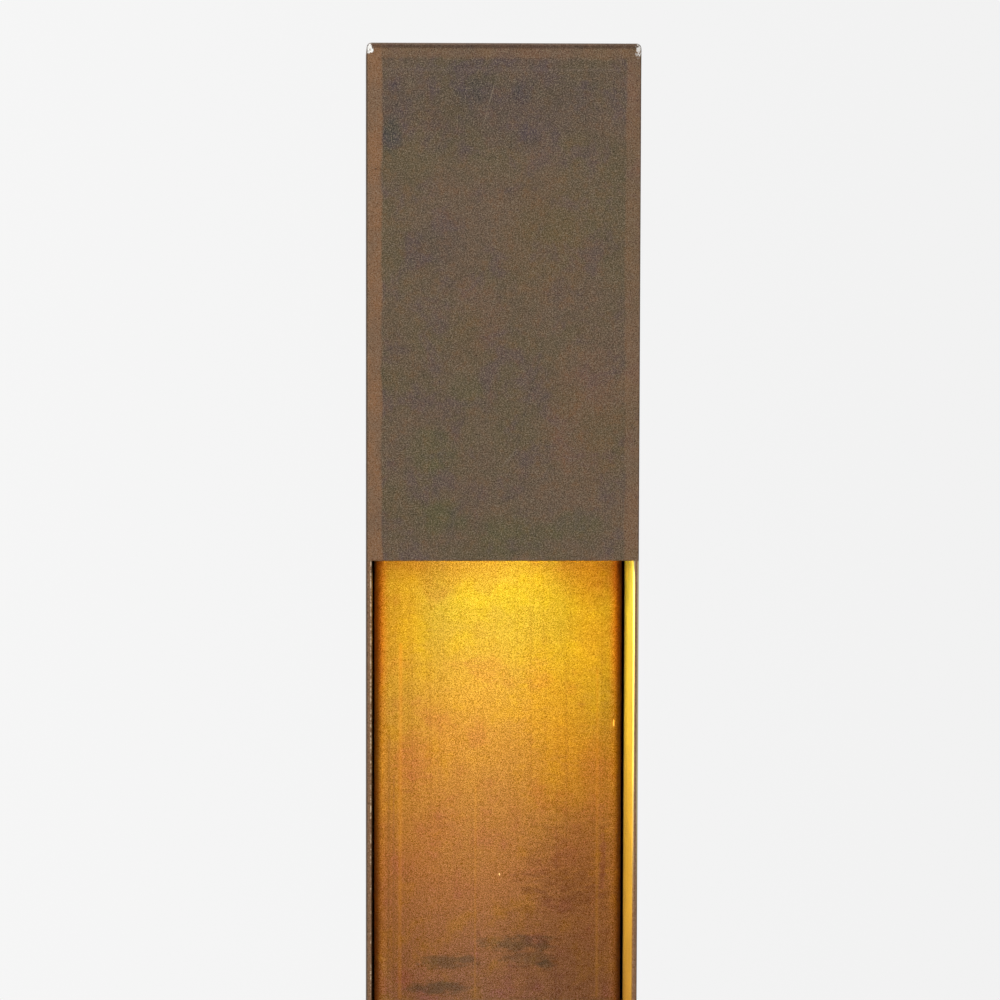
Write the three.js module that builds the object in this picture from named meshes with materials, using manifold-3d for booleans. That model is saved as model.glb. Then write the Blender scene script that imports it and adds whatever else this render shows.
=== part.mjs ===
// Bollard light: a square column of patinated brass sheet, closed at the top to make the lamp's head and
// open at the front below it. A lamp in the head shines down a recessed panel to the path. The panel hides
// the wiring, and its lower part is a cover that comes off for access to the driver and the terminals.
//
// Millimetres, +Z up, front towards -Y. The origin is the centre of the footprint, on the ground.

import * as THREE from "three";
import { mergeVertices } from "three/addons/utils/BufferGeometryUtils.js";
import Module from "manifold-3d";

const wasm = await Module();
wasm.setup();

// ---------------------------------------------------------------- driving dimensions

const SIDE = 100; // the column is square on plan
const HEIGHT = 800;
const SHEET = 2; // brass sheet, everywhere
const HEAD = 189; // height of the closed head
const RECESS = 46; // from the front of the column back to the panel
const PANEL_GAP = 1; // open joint round the panel and the access cover
const SILL_TOP = 40;
const COVER_TOP = 320;
const GAP = 0.3; // between pieces that touch
const OVER = 1; // how far a drill or a cutter runs past what it cuts

const EDGE_RADIUS = 1.8; // ground outside edges of the column
const FOLD_RADIUS = 4; // outside radius of the folded panel
const FLANGE = 18; // depth of the panel's side flanges

const OPTIC_Y = -26; // the lamp's vertical axis
const THROAT = 26; // from the head's lip up to the lamp carrier

const ANCHOR_SPACING = 70;
const ANCHOR_HOLE_R = 4.5;
const CABLE_ENTRY_R = 13;
const CABLE_ENTRY_Y = 12;

// ---------------------------------------------------------------- positions worked out from them

const HALF = SIDE / 2;
const INSIDE = HALF - SHEET; // inner face of the column's walls
const FIT = INSIDE - GAP; // half width of a piece fixed between those walls
const LIP_Z = HEIGHT - HEAD;
const PANEL_Y = -HALF + RECESS; // front face of the panel
const PANEL_BACK = PANEL_Y + SHEET;
const PANEL_HALF = INSIDE - PANEL_GAP;
const CARRIER_Z = LIP_Z + THROAT;
const CARRIER_TOP = CARRIER_Z + SHEET;
const BRACKET_Y = PANEL_BACK + GAP; // front face of the brackets behind the panel
const BRACKET_FOOT_Y = PANEL_Y + FLANGE + GAP;
const GASKET_T = 2;
const PLATE_T = 6;
const PLATE_Z = GASKET_T + GAP;
const PLATE_TOP = PLATE_Z + PLATE_T;
const ON_PLATE = PLATE_TOP + GAP;

// ---------------------------------------------------------------- materials

function metal(color, roughness, metalness = 1) {
  return new THREE.MeshStandardMaterial({ color, roughness, metalness });
}

const patina = metal(0x67573f, 0.5);
const steel = metal(0xa9abad, 0.35);
const zinc = metal(0x9aa0a3, 0.45);
const aluminium = metal(0xb9bcc0, 0.4);
const blackened = metal(0x1d1a17, 0.55, 0.6);
const rubber = metal(0x151515, 0.9, 0);
const polyamide = metal(0x26282a, 0.55, 0);
const housing = metal(0x34373a, 0.6, 0);
const lead = metal(0x1b1b1c, 0.7, 0);
const earth = metal(0x5c8f2e, 0.6, 0);
const board = metal(0xe9e9e4, 0.5, 0);
const phosphor = metal(0xf0c23a, 0.6, 0);
const mirror = metal(0xd8dadc, 0.12);
const glass = metal(0xdfe7e4, 0.05, 0);

// ---------------------------------------------------------------- geometry helpers

const SCREW_SIDES = 12;
const LENS_SIDES = 32;

const part = new THREE.Group();

function add(name, geometry, material) {
  const mesh = new THREE.Mesh(geometry, material);
  mesh.name = name;
  part.add(mesh);
}

function solidOf(geometry) {
  const bare = geometry.index ? geometry.toNonIndexed() : geometry.clone();
  bare.deleteAttribute("normal");
  bare.deleteAttribute("uv");
  const merged = mergeVertices(bare, 1e-4);
  return new wasm.Manifold(
    new wasm.Mesh({
      numProp: 3,
      vertProperties: new Float32Array(merged.attributes.position.array),
      triVerts: new Uint32Array(merged.index.array),
    }),
  );
}

function geometryOf(solid) {
  const mesh = solid.getMesh();
  const geometry = new THREE.BufferGeometry();
  geometry.setAttribute("position", new THREE.BufferAttribute(mesh.vertProperties, 3));
  geometry.setIndex(new THREE.BufferAttribute(mesh.triVerts, 1));
  geometry.computeVertexNormals();
  return geometry;
}

function cut(geometry, tools) {
  const left = tools.reduce((solid, tool) => solid.subtract(solidOf(tool)), solidOf(geometry));
  return geometryOf(left);
}

function join(geometries) {
  return geometryOf(geometries.map(solidOf).reduce((whole, solid) => whole.add(solid)));
}

// Gives a geometry whose faces point inwards, such as a mirrored one, faces that point out.
function outwards(geometry) {
  if (solidOf(geometry).volume() > 0) return geometry;
  const flipped = geometry.index ? geometry.toNonIndexed() : geometry.clone();
  const corner = flipped.attributes.position;
  for (let i = 0; i < corner.count; i += 3) {
    const [x, y, z] = [corner.getX(i), corner.getY(i), corner.getZ(i)];
    corner.setXYZ(i, corner.getX(i + 1), corner.getY(i + 1), corner.getZ(i + 1));
    corner.setXYZ(i + 1, x, y, z);
  }
  return flipped;
}

function mirrored(geometry) {
  return outwards(geometry.clone().scale(-1, 1, 1));
}

// Corners are [x, y] or [x, y, radius], anticlockwise, and a corner with a radius is a right angle.
function outline(corners, path = new THREE.Shape()) {
  corners.forEach(([x, y, radius = 0], i) => {
    if (radius === 0) {
      if (i === 0) path.moveTo(x, y);
      else path.lineTo(x, y);
      return;
    }
    const corner = new THREE.Vector2(x, y);
    const [backX, backY] = corners[(i + corners.length - 1) % corners.length];
    const [onX, onY] = corners[(i + 1) % corners.length];
    const back = new THREE.Vector2(backX, backY).sub(corner).normalize();
    const on = new THREE.Vector2(onX, onY).sub(corner).normalize();
    const centre = corner.clone().addScaledVector(back, radius).addScaledVector(on, radius);
    const start = Math.atan2(-on.y, -on.x);
    const end = Math.atan2(-back.y, -back.x);
    path.absarc(centre.x, centre.y, radius, start, end, back.cross(on) > 0);
  });
  path.closePath();
  return path;
}

function rectangle(x0, x1, y0, y1, radius = 0) {
  return [
    [x0, y0, radius],
    [x1, y0, radius],
    [x1, y1, radius],
    [x0, y1, radius],
  ];
}

function extrudeZ(shape, z0, z1) {
  const options = { depth: z1 - z0, bevelEnabled: false, curveSegments: 2 };
  return new THREE.ExtrudeGeometry(shape, options).translate(0, 0, z0);
}

// The outline's coordinates are X and Z.
function extrudeY(shape, y0, y1) {
  return extrudeZ(shape, 0, y1 - y0)
    .rotateX(Math.PI / 2)
    .translate(0, y1, 0);
}

// The outline's coordinates are Y and Z.
function extrudeX(shape, x0, x1) {
  const turn = new THREE.Matrix4().makeBasis(
    new THREE.Vector3(0, 1, 0),
    new THREE.Vector3(0, 0, 1),
    new THREE.Vector3(1, 0, 0),
  );
  return extrudeZ(shape, 0, x1 - x0).applyMatrix4(turn).translate(x0, 0, 0);
}

function block(x0, x1, y0, y1, z0, z1) {
  const box = new THREE.BoxGeometry(x1 - x0, y1 - y0, z1 - z0);
  return box.translate((x0 + x1) / 2, (y0 + y1) / 2, (z0 + z1) / 2);
}

function rodZ(x, y, r, z0, z1, sides = 16) {
  return new THREE.CylinderGeometry(r, r, z1 - z0, sides)
    .rotateX(Math.PI / 2)
    .translate(x, y, (z0 + z1) / 2);
}

function rodY(x, z, r, y0, y1, sides = 12) {
  return new THREE.CylinderGeometry(r, r, y1 - y0, sides).translate(x, (y0 + y1) / 2, z);
}

// Drills for holes given as [x, y, radius].
function drillsZ(holes, z0, z1) {
  return holes.map(([x, y, r]) => rodZ(x, y, r, z0 - OVER, z1 + OVER));
}

// A piece turned about a vertical axis. Its profile is [radius, height] points that end where they start.
function turned(profile, x, y, segments = LENS_SIDES) {
  const points = profile.map(([r, z]) => new THREE.Vector2(r, z));
  return outwards(new THREE.LatheGeometry(points, segments).rotateX(Math.PI / 2).translate(x, y, 0));
}

function ring(r0, r1, z0, z1, x, y) {
  const profile = [
    [r0, z0],
    [r1, z0],
    [r1, z1],
    [r0, z1],
    [r0, z0],
  ];
  return turned(profile, x, y);
}

function cable(points, r, steps) {
  const section = new THREE.Shape().absarc(0, 0, r, 0, 2 * Math.PI, false);
  const extrudePath = new THREE.CatmullRomCurve3(points.map((p) => new THREE.Vector3(...p)));
  return outwards(new THREE.ExtrudeGeometry(section, { extrudePath, steps, curveSegments: 4 }));
}

// ---------------------------------------------------------------- fasteners

const RIM = 0.25; // height of the straight edge round a countersunk head
const M4 = { shaft: 2, head: 3.9, sink: 2.1, socket: 1.45, socketDepth: 1.3 };
const M3 = { shaft: 1.5, head: 2.9, sink: 1.6, socket: 1.15, socketDepth: 1 };

// Turns a geometry whose own axis is +Y, and moves its origin to a point.
const TURNS = {
  back: new THREE.Matrix4(),
  down: new THREE.Matrix4().makeRotationX(-Math.PI / 2),
  up: new THREE.Matrix4().makeRotationX(Math.PI / 2),
  right: new THREE.Matrix4().makeRotationZ(-Math.PI / 2),
  left: new THREE.Matrix4().makeRotationZ(Math.PI / 2),
};

function aimed(geometry, way, x, y, z) {
  return geometry.applyMatrix4(TURNS[way]).translate(x, y, z);
}

function revolved(profile, sides = SCREW_SIDES) {
  const points = profile.map(([r, y]) => new THREE.Vector2(r, y));
  return outwards(new THREE.LatheGeometry(points, sides));
}

// A countersunk socket screw: its head is flush at the origin, and its shaft runs along +Y.
function screw({ shaft, head, sink, socket, socketDepth }, length) {
  const blank = revolved([
    [0, 0],
    [head, 0],
    [head, RIM],
    [shaft, sink],
    [shaft, length],
    [0, length],
  ]);
  return cut(blank, [new THREE.CylinderGeometry(socket, socket, 2 * socketDepth, 6)]);
}

// The hole for such a screw, with clearance all round.
function screwHole({ shaft, head, sink }, depth) {
  return revolved([
    [0, -OVER],
    [head + GAP, -OVER],
    [head + GAP, RIM],
    [shaft + GAP, sink + GAP],
    [shaft + GAP, depth],
    [0, depth],
  ]);
}

// Screws of one kind: their holes, to be cut from what they pass through, and the screws themselves.
// Each place is the way that the shaft points, then the centre of the head's face.
function screwSet(name, size, length, places) {
  return {
    holes: () => places.map((place) => aimed(screwHole(size, length + OVER), ...place)),
    fit() {
      places.forEach((place, i) => add(`${name}_${i + 1}`, aimed(screw(size, length), ...place), steel));
    },
  };
}

const SHELL_SCREW_Z = 24;
const PANEL_SCREW_X = 30;
const PANEL_SCREW_Z = LIP_Z + 12; // hidden behind the head's lip
const COVER_SCREW_X = 32;
const COVER_SCREW_IN = 15; // from the cover's top and bottom edges
const COVER_SCREWS_Z = [SILL_TOP + PANEL_GAP + COVER_SCREW_IN, COVER_TOP - COVER_SCREW_IN];
const POST_X = 22;
const POST_Y = -27;
const CARRIER_SCREW = 41; // from the column's axis, both ways
const BEZEL_SCREW_X = 28;
const BEZEL_T = 3.5;
const BEZEL_Z = CARRIER_Z - GAP - BEZEL_T;

const shellScrews = screwSet("shell_screw", M4, 8, [
  ["right", -HALF, 0, SHELL_SCREW_Z],
  ["left", HALF, 0, SHELL_SCREW_Z],
]);

const panelScrews = screwSet("panel_screw", M4, 8, [
  ["back", -PANEL_SCREW_X, PANEL_Y, PANEL_SCREW_Z],
  ["back", PANEL_SCREW_X, PANEL_Y, PANEL_SCREW_Z],
]);

const coverScrews = screwSet(
  "cover_screw",
  M4,
  8,
  COVER_SCREWS_Z.flatMap((z) => [-COVER_SCREW_X, COVER_SCREW_X].map((x) => ["back", x, PANEL_Y, z])),
);

const sillScrews = screwSet("sill_screw", M4, 12, [
  ["down", -POST_X, POST_Y, SILL_TOP],
  ["down", POST_X, POST_Y, SILL_TOP],
]);

const carrierScrews = screwSet(
  "carrier_screw",
  M4,
  8,
  [-CARRIER_SCREW, CARRIER_SCREW].flatMap((y) =>
    [-CARRIER_SCREW, CARRIER_SCREW].map((x) => ["up", x, y, CARRIER_Z]),
  ),
);

const bezelScrews = screwSet("bezel_screw", M3, 12, [
  ["up", -BEZEL_SCREW_X, OPTIC_Y, BEZEL_Z],
  ["up", BEZEL_SCREW_X, OPTIC_Y, BEZEL_Z],
]);

// ---------------------------------------------------------------- column: three welded pieces of sheet

function columnChannel() {
  const edge = EDGE_RADIUS;
  const shape = outline([
    [-HALF, -HALF],
    [-INSIDE, -HALF],
    [-INSIDE, INSIDE],
    [INSIDE, INSIDE],
    [INSIDE, -HALF],
    [HALF, -HALF],
    [HALF, HALF, edge],
    [-HALF, HALF, edge],
  ]);
  add("column_channel", cut(extrudeZ(shape, PLATE_Z, HEIGHT - SHEET - GAP), shellScrews.holes()), patina);
}

function headFrontPlate() {
  add("head_front_plate", block(-FIT, FIT, -HALF, -INSIDE, LIP_Z, HEIGHT - SHEET - GAP), patina);
}

function topCap() {
  const r = EDGE_RADIUS;
  const flat = outline(rectangle(-HALF + r, HALF - r, -HALF + r, HALF - r));
  const options = { depth: SHEET, bevelThickness: r, bevelSize: r, bevelSegments: 4, curveSegments: 4 };
  const pillow = new THREE.ExtrudeGeometry(flat, options).translate(0, 0, HEIGHT - SHEET - r);
  add("top_cap", cut(pillow, [block(-SIDE, SIDE, -SIDE, SIDE, 0, HEIGHT - SHEET)]), patina);
}

// ---------------------------------------------------------------- recess: panel, access cover, sill

function foldedPanel(z0, z1) {
  const back = PANEL_Y + FLANGE;
  const inner = PANEL_HALF - SHEET;
  const shape = outline([
    [-PANEL_HALF, back],
    [-PANEL_HALF, PANEL_Y, FOLD_RADIUS],
    [PANEL_HALF, PANEL_Y, FOLD_RADIUS],
    [PANEL_HALF, back],
    [inner, back],
    [inner, PANEL_BACK, FOLD_RADIUS - SHEET],
    [-inner, PANEL_BACK, FOLD_RADIUS - SHEET],
    [-inner, back],
  ]);
  return extrudeZ(shape, z0, z1);
}

function recessPanel() {
  const blank = foldedPanel(COVER_TOP + PANEL_GAP, CARRIER_Z - GAP);
  add("recess_panel", cut(blank, panelScrews.holes()), patina);
  panelScrews.fit();
}

function accessCover() {
  const bottom = SILL_TOP + PANEL_GAP;
  add("access_cover", cut(foldedPanel(bottom, COVER_TOP), coverScrews.holes()), patina);
  coverScrews.fit();
}

// A hat-shaped strip behind the panel, welded to the column's sides behind the panel's flanges.
function panelBracket(name, z0, z1, holes) {
  const web = PANEL_HALF - SHEET - PANEL_GAP;
  const inner = web - SHEET;
  const foot = BRACKET_FOOT_Y;
  const shape = outline([
    [-FIT, foot + SHEET],
    [-FIT, foot],
    [-web, foot],
    [-web, BRACKET_Y],
    [web, BRACKET_Y],
    [web, foot],
    [FIT, foot],
    [FIT, foot + SHEET],
    [inner, foot + SHEET],
    [inner, BRACKET_Y + SHEET],
    [-inner, BRACKET_Y + SHEET],
    [-inner, foot + SHEET],
  ]);
  add(name, cut(extrudeZ(shape, z0, z1), holes), zinc);
}

function panelBrackets() {
  const reach = 12; // of a bracket above and below its screws
  const [low, high] = COVER_SCREWS_Z;
  const joint = COVER_TOP + PANEL_GAP;
  panelBracket("cover_bracket_low", low - reach, low + reach, coverScrews.holes());
  panelBracket("cover_bracket_high", high - reach, joint + reach, coverScrews.holes());
  panelBracket("panel_bracket", PANEL_SCREW_Z - reach, PANEL_SCREW_Z + reach, panelScrews.holes());
}

function baseSill() {
  const profile = outline([
    [-HALF, PLATE_Z],
    [-INSIDE, PLATE_Z],
    [-INSIDE, SILL_TOP - SHEET],
    [PANEL_BACK, SILL_TOP - SHEET],
    [PANEL_BACK, SILL_TOP],
    [-HALF, SILL_TOP, EDGE_RADIUS],
  ]);
  add("base_sill", cut(extrudeX(profile, -FIT, FIT), sillScrews.holes()), patina);
  sillScrews.fit();
  for (const [side, x] of [["left", -POST_X], ["right", POST_X]]) {
    const post = rodZ(x, POST_Y, M4.head, ON_PLATE, SILL_TOP - SHEET - GAP, 6);
    add(`sill_post_${side}`, cut(post, sillScrews.holes()), zinc);
  }
}

// ---------------------------------------------------------------- base

function baseHoles(clearance, z0, z1) {
  const s = ANCHOR_SPACING / 2;
  const anchors = [-s, s].flatMap((y) => [-s, s].map((x) => [x, y, ANCHOR_HOLE_R + clearance]));
  return drillsZ([...anchors, [0, CABLE_ENTRY_Y, CABLE_ENTRY_R + clearance]], z0, z1);
}

function footGasket() {
  const side = HALF - 0.5;
  const sheet = extrudeZ(outline(rectangle(-side, side, -side, side, EDGE_RADIUS)), 0, GASKET_T);
  add("foot_gasket", cut(sheet, baseHoles(1, 0, GASKET_T)), rubber);
}

function basePlate() {
  const side = INSIDE - 0.5;
  const plate = extrudeZ(outline(rectangle(-side, side, -side, side, 1)), PLATE_Z, PLATE_TOP);
  add("base_plate", cut(plate, baseHoles(0, PLATE_Z, PLATE_TOP)), zinc);
}

function baseLugs() {
  const t = 3;
  const foot = 16;
  const top = SHELL_SCREW_Z + 10;
  const half = 14;
  const shape = outline([
    [-FIT, ON_PLATE],
    [-FIT + foot, ON_PLATE],
    [-FIT + foot, ON_PLATE + t],
    [-FIT + t, ON_PLATE + t],
    [-FIT + t, top],
    [-FIT, top],
  ]);
  const left = extrudeY(shape, -half, half);
  add("base_lug_left", cut(left, shellScrews.holes()), zinc);
  add("base_lug_right", cut(mirrored(left), shellScrews.holes()), zinc);
  shellScrews.fit();
}

// ---------------------------------------------------------------- gear behind the access cover

const TRAY_Y = 44.5;
const TRAY_T = 1.5;
const GEAR_BACK = TRAY_Y - GAP;
const BOX = { half: 35, z0: 66, z1: 130, front: 14, wall: 2.5, corner: 3 };
const DRIVER = { half: 21, z0: 152, z1: 272, front: 16, corner: 3 };
const EAR = { t: 3, long: 12, half: 8 };
const GLAND = { x: 0, y: 28, bore: 4.5, thread: 7.6, hexagon: 11 };
const EARTH = { x: -24, y: 6, r: 2.5, head: 5, tagZ: 13, tagT: 2.5, wire: 1.2 }; // bonding screw and its lead
const MAINS = { x: 12, y: 30, r: 3 };
const LAMP_LEAD = { x: -10, y: 30, r: 3 };

const driverScrews = screwSet("driver_screw", M4, 6, [
  ["back", 0, GEAR_BACK - EAR.t, DRIVER.z0 - EAR.long / 2],
  ["back", 0, GEAR_BACK - EAR.t, DRIVER.z1 + EAR.long / 2],
]);

function gearTray() {
  const footY = 27;
  const back = TRAY_Y + TRAY_T;
  const leg = { half: 22, top: 60 };
  const plate = { half: 38, z0: 50, z1: 300 };
  const bent = join([
    block(-leg.half, leg.half, footY, back, ON_PLATE, ON_PLATE + TRAY_T),
    block(-leg.half, leg.half, TRAY_Y, back, ON_PLATE, leg.top),
    block(-plate.half, plate.half, TRAY_Y, back, plate.z0, plate.z1),
  ]);
  add("gear_tray", cut(bent, driverScrews.holes()), zinc);
}

function junctionBox() {
  const { half, z0, z1, front, wall, corner } = BOX;
  const face = outline(rectangle(-half, half, z0, z1, corner));
  const inside = block(-half + wall, half - wall, front - OVER, GEAR_BACK - wall, z0 + wall, z1 - wall);
  const belowHoles = [
    [GLAND.x, GLAND.y, GLAND.thread + GAP],
    [EARTH.x, GLAND.y, EARTH.wire + 2 * GAP],
  ];
  const aboveHoles = [[MAINS.x, MAINS.y, MAINS.r + GAP]];
  const cuts = [inside, ...drillsZ(belowHoles, z0, z0 + wall), ...drillsZ(aboveHoles, z1 - wall, z1)];
  add("junction_box", cut(extrudeY(face, front, GEAR_BACK), cuts), housing);

  const lidT = 3;
  const lidFront = front - GAP - lidT;
  const latch = { x: half - 9, in: 8, r: 3, depth: 1.5 };
  const latches = [z0 + latch.in, z1 - latch.in].flatMap((z) =>
    [-latch.x, latch.x].map((x) => rodY(x, z, latch.r, lidFront - OVER, lidFront + latch.depth)),
  );
  add("junction_box_lid", cut(extrudeY(face, lidFront, lidFront + lidT), latches), housing);
}

function terminalBlock() {
  const front = 24;
  const [z0, z1] = [90, 106];
  const pitch = 12;
  const well = { r: 2.2, depth: 6 };
  const strip = block(-2 * pitch, 2 * pitch, front, GEAR_BACK - BOX.wall - GAP, z0, z1);
  const wells = [-1.5, -0.5, 0.5, 1.5].map((i) =>
    rodY(i * pitch, (z0 + z1) / 2, well.r, front - OVER, front + well.depth),
  );
  add("terminal_block", cut(strip, wells), board);
}

function supplyGland() {
  const { x, y, bore, thread, hexagon } = GLAND;
  const top = BOX.z0 - GAP;
  const collarT = 7;
  const nutTop = top - collarT - GAP;
  const nutShoulder = nutTop - 8;
  const nutBottom = nutShoulder - 5;
  const threadTop = BOX.z0 + 9;
  const body = join([
    rodZ(x, y, hexagon, top - collarT, top, 6),
    rodZ(x, y, thread, nutShoulder + GAP, threadTop),
  ]);
  add("supply_gland", cut(body, drillsZ([[x, y, bore]], nutBottom, threadTop)), polyamide);

  const nut = [
    [thread + GAP, nutTop],
    [hexagon - 0.5, nutTop],
    [hexagon - 0.5, nutShoulder],
    [thread, nutBottom],
    [bore, nutBottom],
    [bore, nutShoulder],
    [thread + GAP, nutShoulder],
    [thread + GAP, nutTop],
  ];
  add("gland_nut", turned(nut, x, y, SCREW_SIDES), polyamide);
}

function driver() {
  const { half, z0, z1, front, corner } = DRIVER;
  const housingShape = outline(rectangle(-half, half, front, GEAR_BACK, corner));
  const ears = block(-EAR.half, EAR.half, GEAR_BACK - EAR.t, GEAR_BACK, z0 - EAR.long, z1 + EAR.long);
  const body = join([extrudeZ(housingShape, z0, z1), ears]);
  add("led_driver", cut(body, driverScrews.holes()), aluminium);
  driverScrews.fit();
}

function mainsLead() {
  add("mains_lead", rodZ(MAINS.x, MAINS.y, MAINS.r, BOX.z1 - 5, DRIVER.z0 - GAP), lead);
}

function earthBond() {
  const { x, y, r, head, tagZ, tagT, wire } = EARTH;
  const tagTop = tagZ + tagT;
  const headZ = tagTop + GAP;
  const headT = 3.5;
  const pieces = [
    rodZ(x, y, r, ON_PLATE, headZ + headT / 2),
    rodZ(x, y, head, ON_PLATE, tagZ - GAP, 6),
    rodZ(x, y, head, headZ, headZ + headT, 6),
  ];
  add("earth_screw", join(pieces), steel);

  const tag = cut(rodZ(x, y, head, tagZ, tagTop), drillsZ([[x, y, r + GAP]], tagZ, tagTop));
  const route = [
    [x, y + 4.2, tagZ + 1.2],
    [x, y + 10, tagZ + 2],
    [x, y + 19, 22],
    [x, GLAND.y, 40],
    [x, GLAND.y, BOX.z0 + 6],
  ];
  add("earth_lead", join([tag, cable(route, wire, 24)]), earth);
}

// ---------------------------------------------------------------- lamp

const WINDOW_R = 14.5;
const LENS_R = 16.9;
const LENS_SEAT_R = LENS_R + 0.4;
const HOUSING_R = 20.8;
const HOUSING_Z = CARRIER_TOP + GAP;
const HOUSING_TOP = HOUSING_Z + 15.4;
const BOARD_Z = HOUSING_TOP + GAP;
const BOARD_T = 1.6;
const EMITTER = { r: 6.5, t: 1.5 };
const OPTIC_HALF = 21; // half the depth of the bezel and the heat sink, about the lamp's axis
const BEZEL_HALF = 34;
const BEZEL_CORNER = 4;
const LEAD_HOLE = { y: 40, r: 5.5 }; // where the lamp's lead passes up through the carrier
const PLUG = { y: 10, wide: 10, half: 7, top: HOUSING_Z + 15 };
const BOARD_LEAD = { z: HOUSING_Z + 6.7, r: 2 };

function lampCarrier() {
  const plate = extrudeZ(outline(rectangle(-FIT, FIT, -FIT, FIT, 1)), CARRIER_Z, CARRIER_TOP);
  const lensHole = rodZ(0, OPTIC_Y, LENS_SEAT_R, CARRIER_Z - OVER, CARRIER_TOP + OVER, LENS_SIDES);
  const leadHoles = drillsZ([[0, LEAD_HOLE.y, LEAD_HOLE.r]], CARRIER_Z, CARRIER_TOP);
  const drills = [lensHole, ...leadHoles, ...carrierScrews.holes(), ...bezelScrews.holes()];
  add("lamp_carrier", cut(plate, drills), blackened);
}

function headBrackets() {
  const z = CARRIER_TOP + GAP;
  const flange = 12;
  const upright = 18;
  const half = 46;
  const angle = outline([
    [-FIT, z],
    [-FIT + flange, z],
    [-FIT + flange, z + SHEET],
    [-FIT + SHEET, z + SHEET],
    [-FIT + SHEET, z + upright],
    [-FIT, z + upright],
  ]);
  const left = extrudeY(angle, -half, half);
  add("head_bracket_left", cut(left, carrierScrews.holes()), zinc);
  add("head_bracket_right", cut(mirrored(left), carrierScrews.holes()), zinc);
  carrierScrews.fit();
}

function lens() {
  const bezelTop = BEZEL_Z + BEZEL_T;
  const ledge = 1.3;
  const plan = rectangle(-BEZEL_HALF, BEZEL_HALF, OPTIC_Y - OPTIC_HALF, OPTIC_Y + OPTIC_HALF, BEZEL_CORNER);
  const frame = extrudeZ(outline(plan), BEZEL_Z, bezelTop);
  const window = rodZ(0, OPTIC_Y, WINDOW_R, BEZEL_Z - OVER, bezelTop, LENS_SIDES);
  const seat = rodZ(0, OPTIC_Y, LENS_SEAT_R, BEZEL_Z + ledge, bezelTop + OVER, LENS_SIDES);
  add("lens_bezel", cut(frame, [window, seat, ...bezelScrews.holes()]), patina);
  bezelScrews.fit();

  const sealZ = BEZEL_Z + ledge + GAP;
  const sealTop = sealZ + 1;
  add("lens_seal", ring(WINDOW_R + GAP, LENS_R, sealZ, sealTop, 0, OPTIC_Y), rubber);
  add("lens_glass", rodZ(0, OPTIC_Y, LENS_R, sealTop + GAP, CARRIER_TOP, LENS_SIDES), glass);
}

function opticHousing() {
  const wall = ring(LENS_SEAT_R + GAP, HOUSING_R, HOUSING_Z, HOUSING_TOP, 0, OPTIC_Y);
  const behind = OPTIC_Y + HOUSING_R;
  const leadHole = rodY(0, BOARD_LEAD.z, BOARD_LEAD.r + GAP, OPTIC_Y + WINDOW_R, behind + OVER);
  add("optic_housing", cut(wall, [leadHole]), aluminium);
}

function reflector() {
  const t = 0.8;
  const top = BOARD_Z - EMITTER.t - 2 * GAP;
  const cone = [
    [LENS_R - t, HOUSING_Z],
    [LENS_R, HOUSING_Z],
    [EMITTER.r + 2 * t, top],
    [EMITTER.r + t, top],
    [LENS_R - t, HOUSING_Z],
  ];
  add("reflector", turned(cone, 0, OPTIC_Y), mirror);
}

function lightSource() {
  const emitterZ = BOARD_Z - GAP - EMITTER.t;
  add("led_emitter", rodZ(0, OPTIC_Y, EMITTER.r, emitterZ, BOARD_Z - GAP), phosphor);
  const disc = rodZ(0, OPTIC_Y, HOUSING_R - GAP, BOARD_Z, BOARD_Z + BOARD_T, LENS_SIDES);
  add("led_board", disc, board);
}

// Its two legs stand on the carrier beside the optic housing, and the bezel's screws draw them down.
function heatSink() {
  const z = BOARD_Z + BOARD_T + GAP;
  const slabT = 5;
  const top = z + 42;
  const half = 33;
  const leg = { half: 5, deep: 7 };
  const [y0, y1] = [OPTIC_Y - OPTIC_HALF, OPTIC_Y + OPTIC_HALF];
  const fin = { count: 9, pitch: 7.5, t: 2 };
  const fins = Array.from({ length: fin.count }, (_, i) => {
    const x = (i - (fin.count - 1) / 2) * fin.pitch;
    return block(x - fin.t / 2, x + fin.t / 2, y0, y1, z + slabT / 2, top);
  });
  const legs = [-BEZEL_SCREW_X, BEZEL_SCREW_X].map((x) =>
    block(x - leg.half, x + leg.half, OPTIC_Y - leg.deep, OPTIC_Y + leg.deep, HOUSING_Z, z + slabT / 2),
  );
  const body = join([block(-half, half, y0, y1, z, z + slabT), ...fins, ...legs]);
  add("heat_sink", cut(body, bezelScrews.holes()), aluminium);
}

function lampLead() {
  const { x, y, r } = LAMP_LEAD;
  const wallY = FIT - r - 0.7; // where it lies, close to the back wall
  const route = [
    [x, y, DRIVER.z1 + GAP],
    [x, y, 292],
    [x / 2, y + 5, 322],
    [0, wallY - 3, 356],
    [0, wallY, 390],
    [0, wallY, 470],
    [0, wallY, 560],
    [0, wallY - 1, 600],
    [0, LEAD_HOLE.y, CARRIER_Z - 11],
    [0, LEAD_HOLE.y, CARRIER_Z],
    [0, LEAD_HOLE.y, CARRIER_Z + 14],
    [0, 36, CARRIER_Z + 30],
    [0, 26, CARRIER_Z + 38],
    [0, 14, CARRIER_Z + 35],
    [0, PLUG.y, PLUG.top + 8],
    [0, PLUG.y, PLUG.top + GAP],
  ];
  add("lamp_lead", cable(route, r, 54), lead);

  leadClip(wallY);
}

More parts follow.
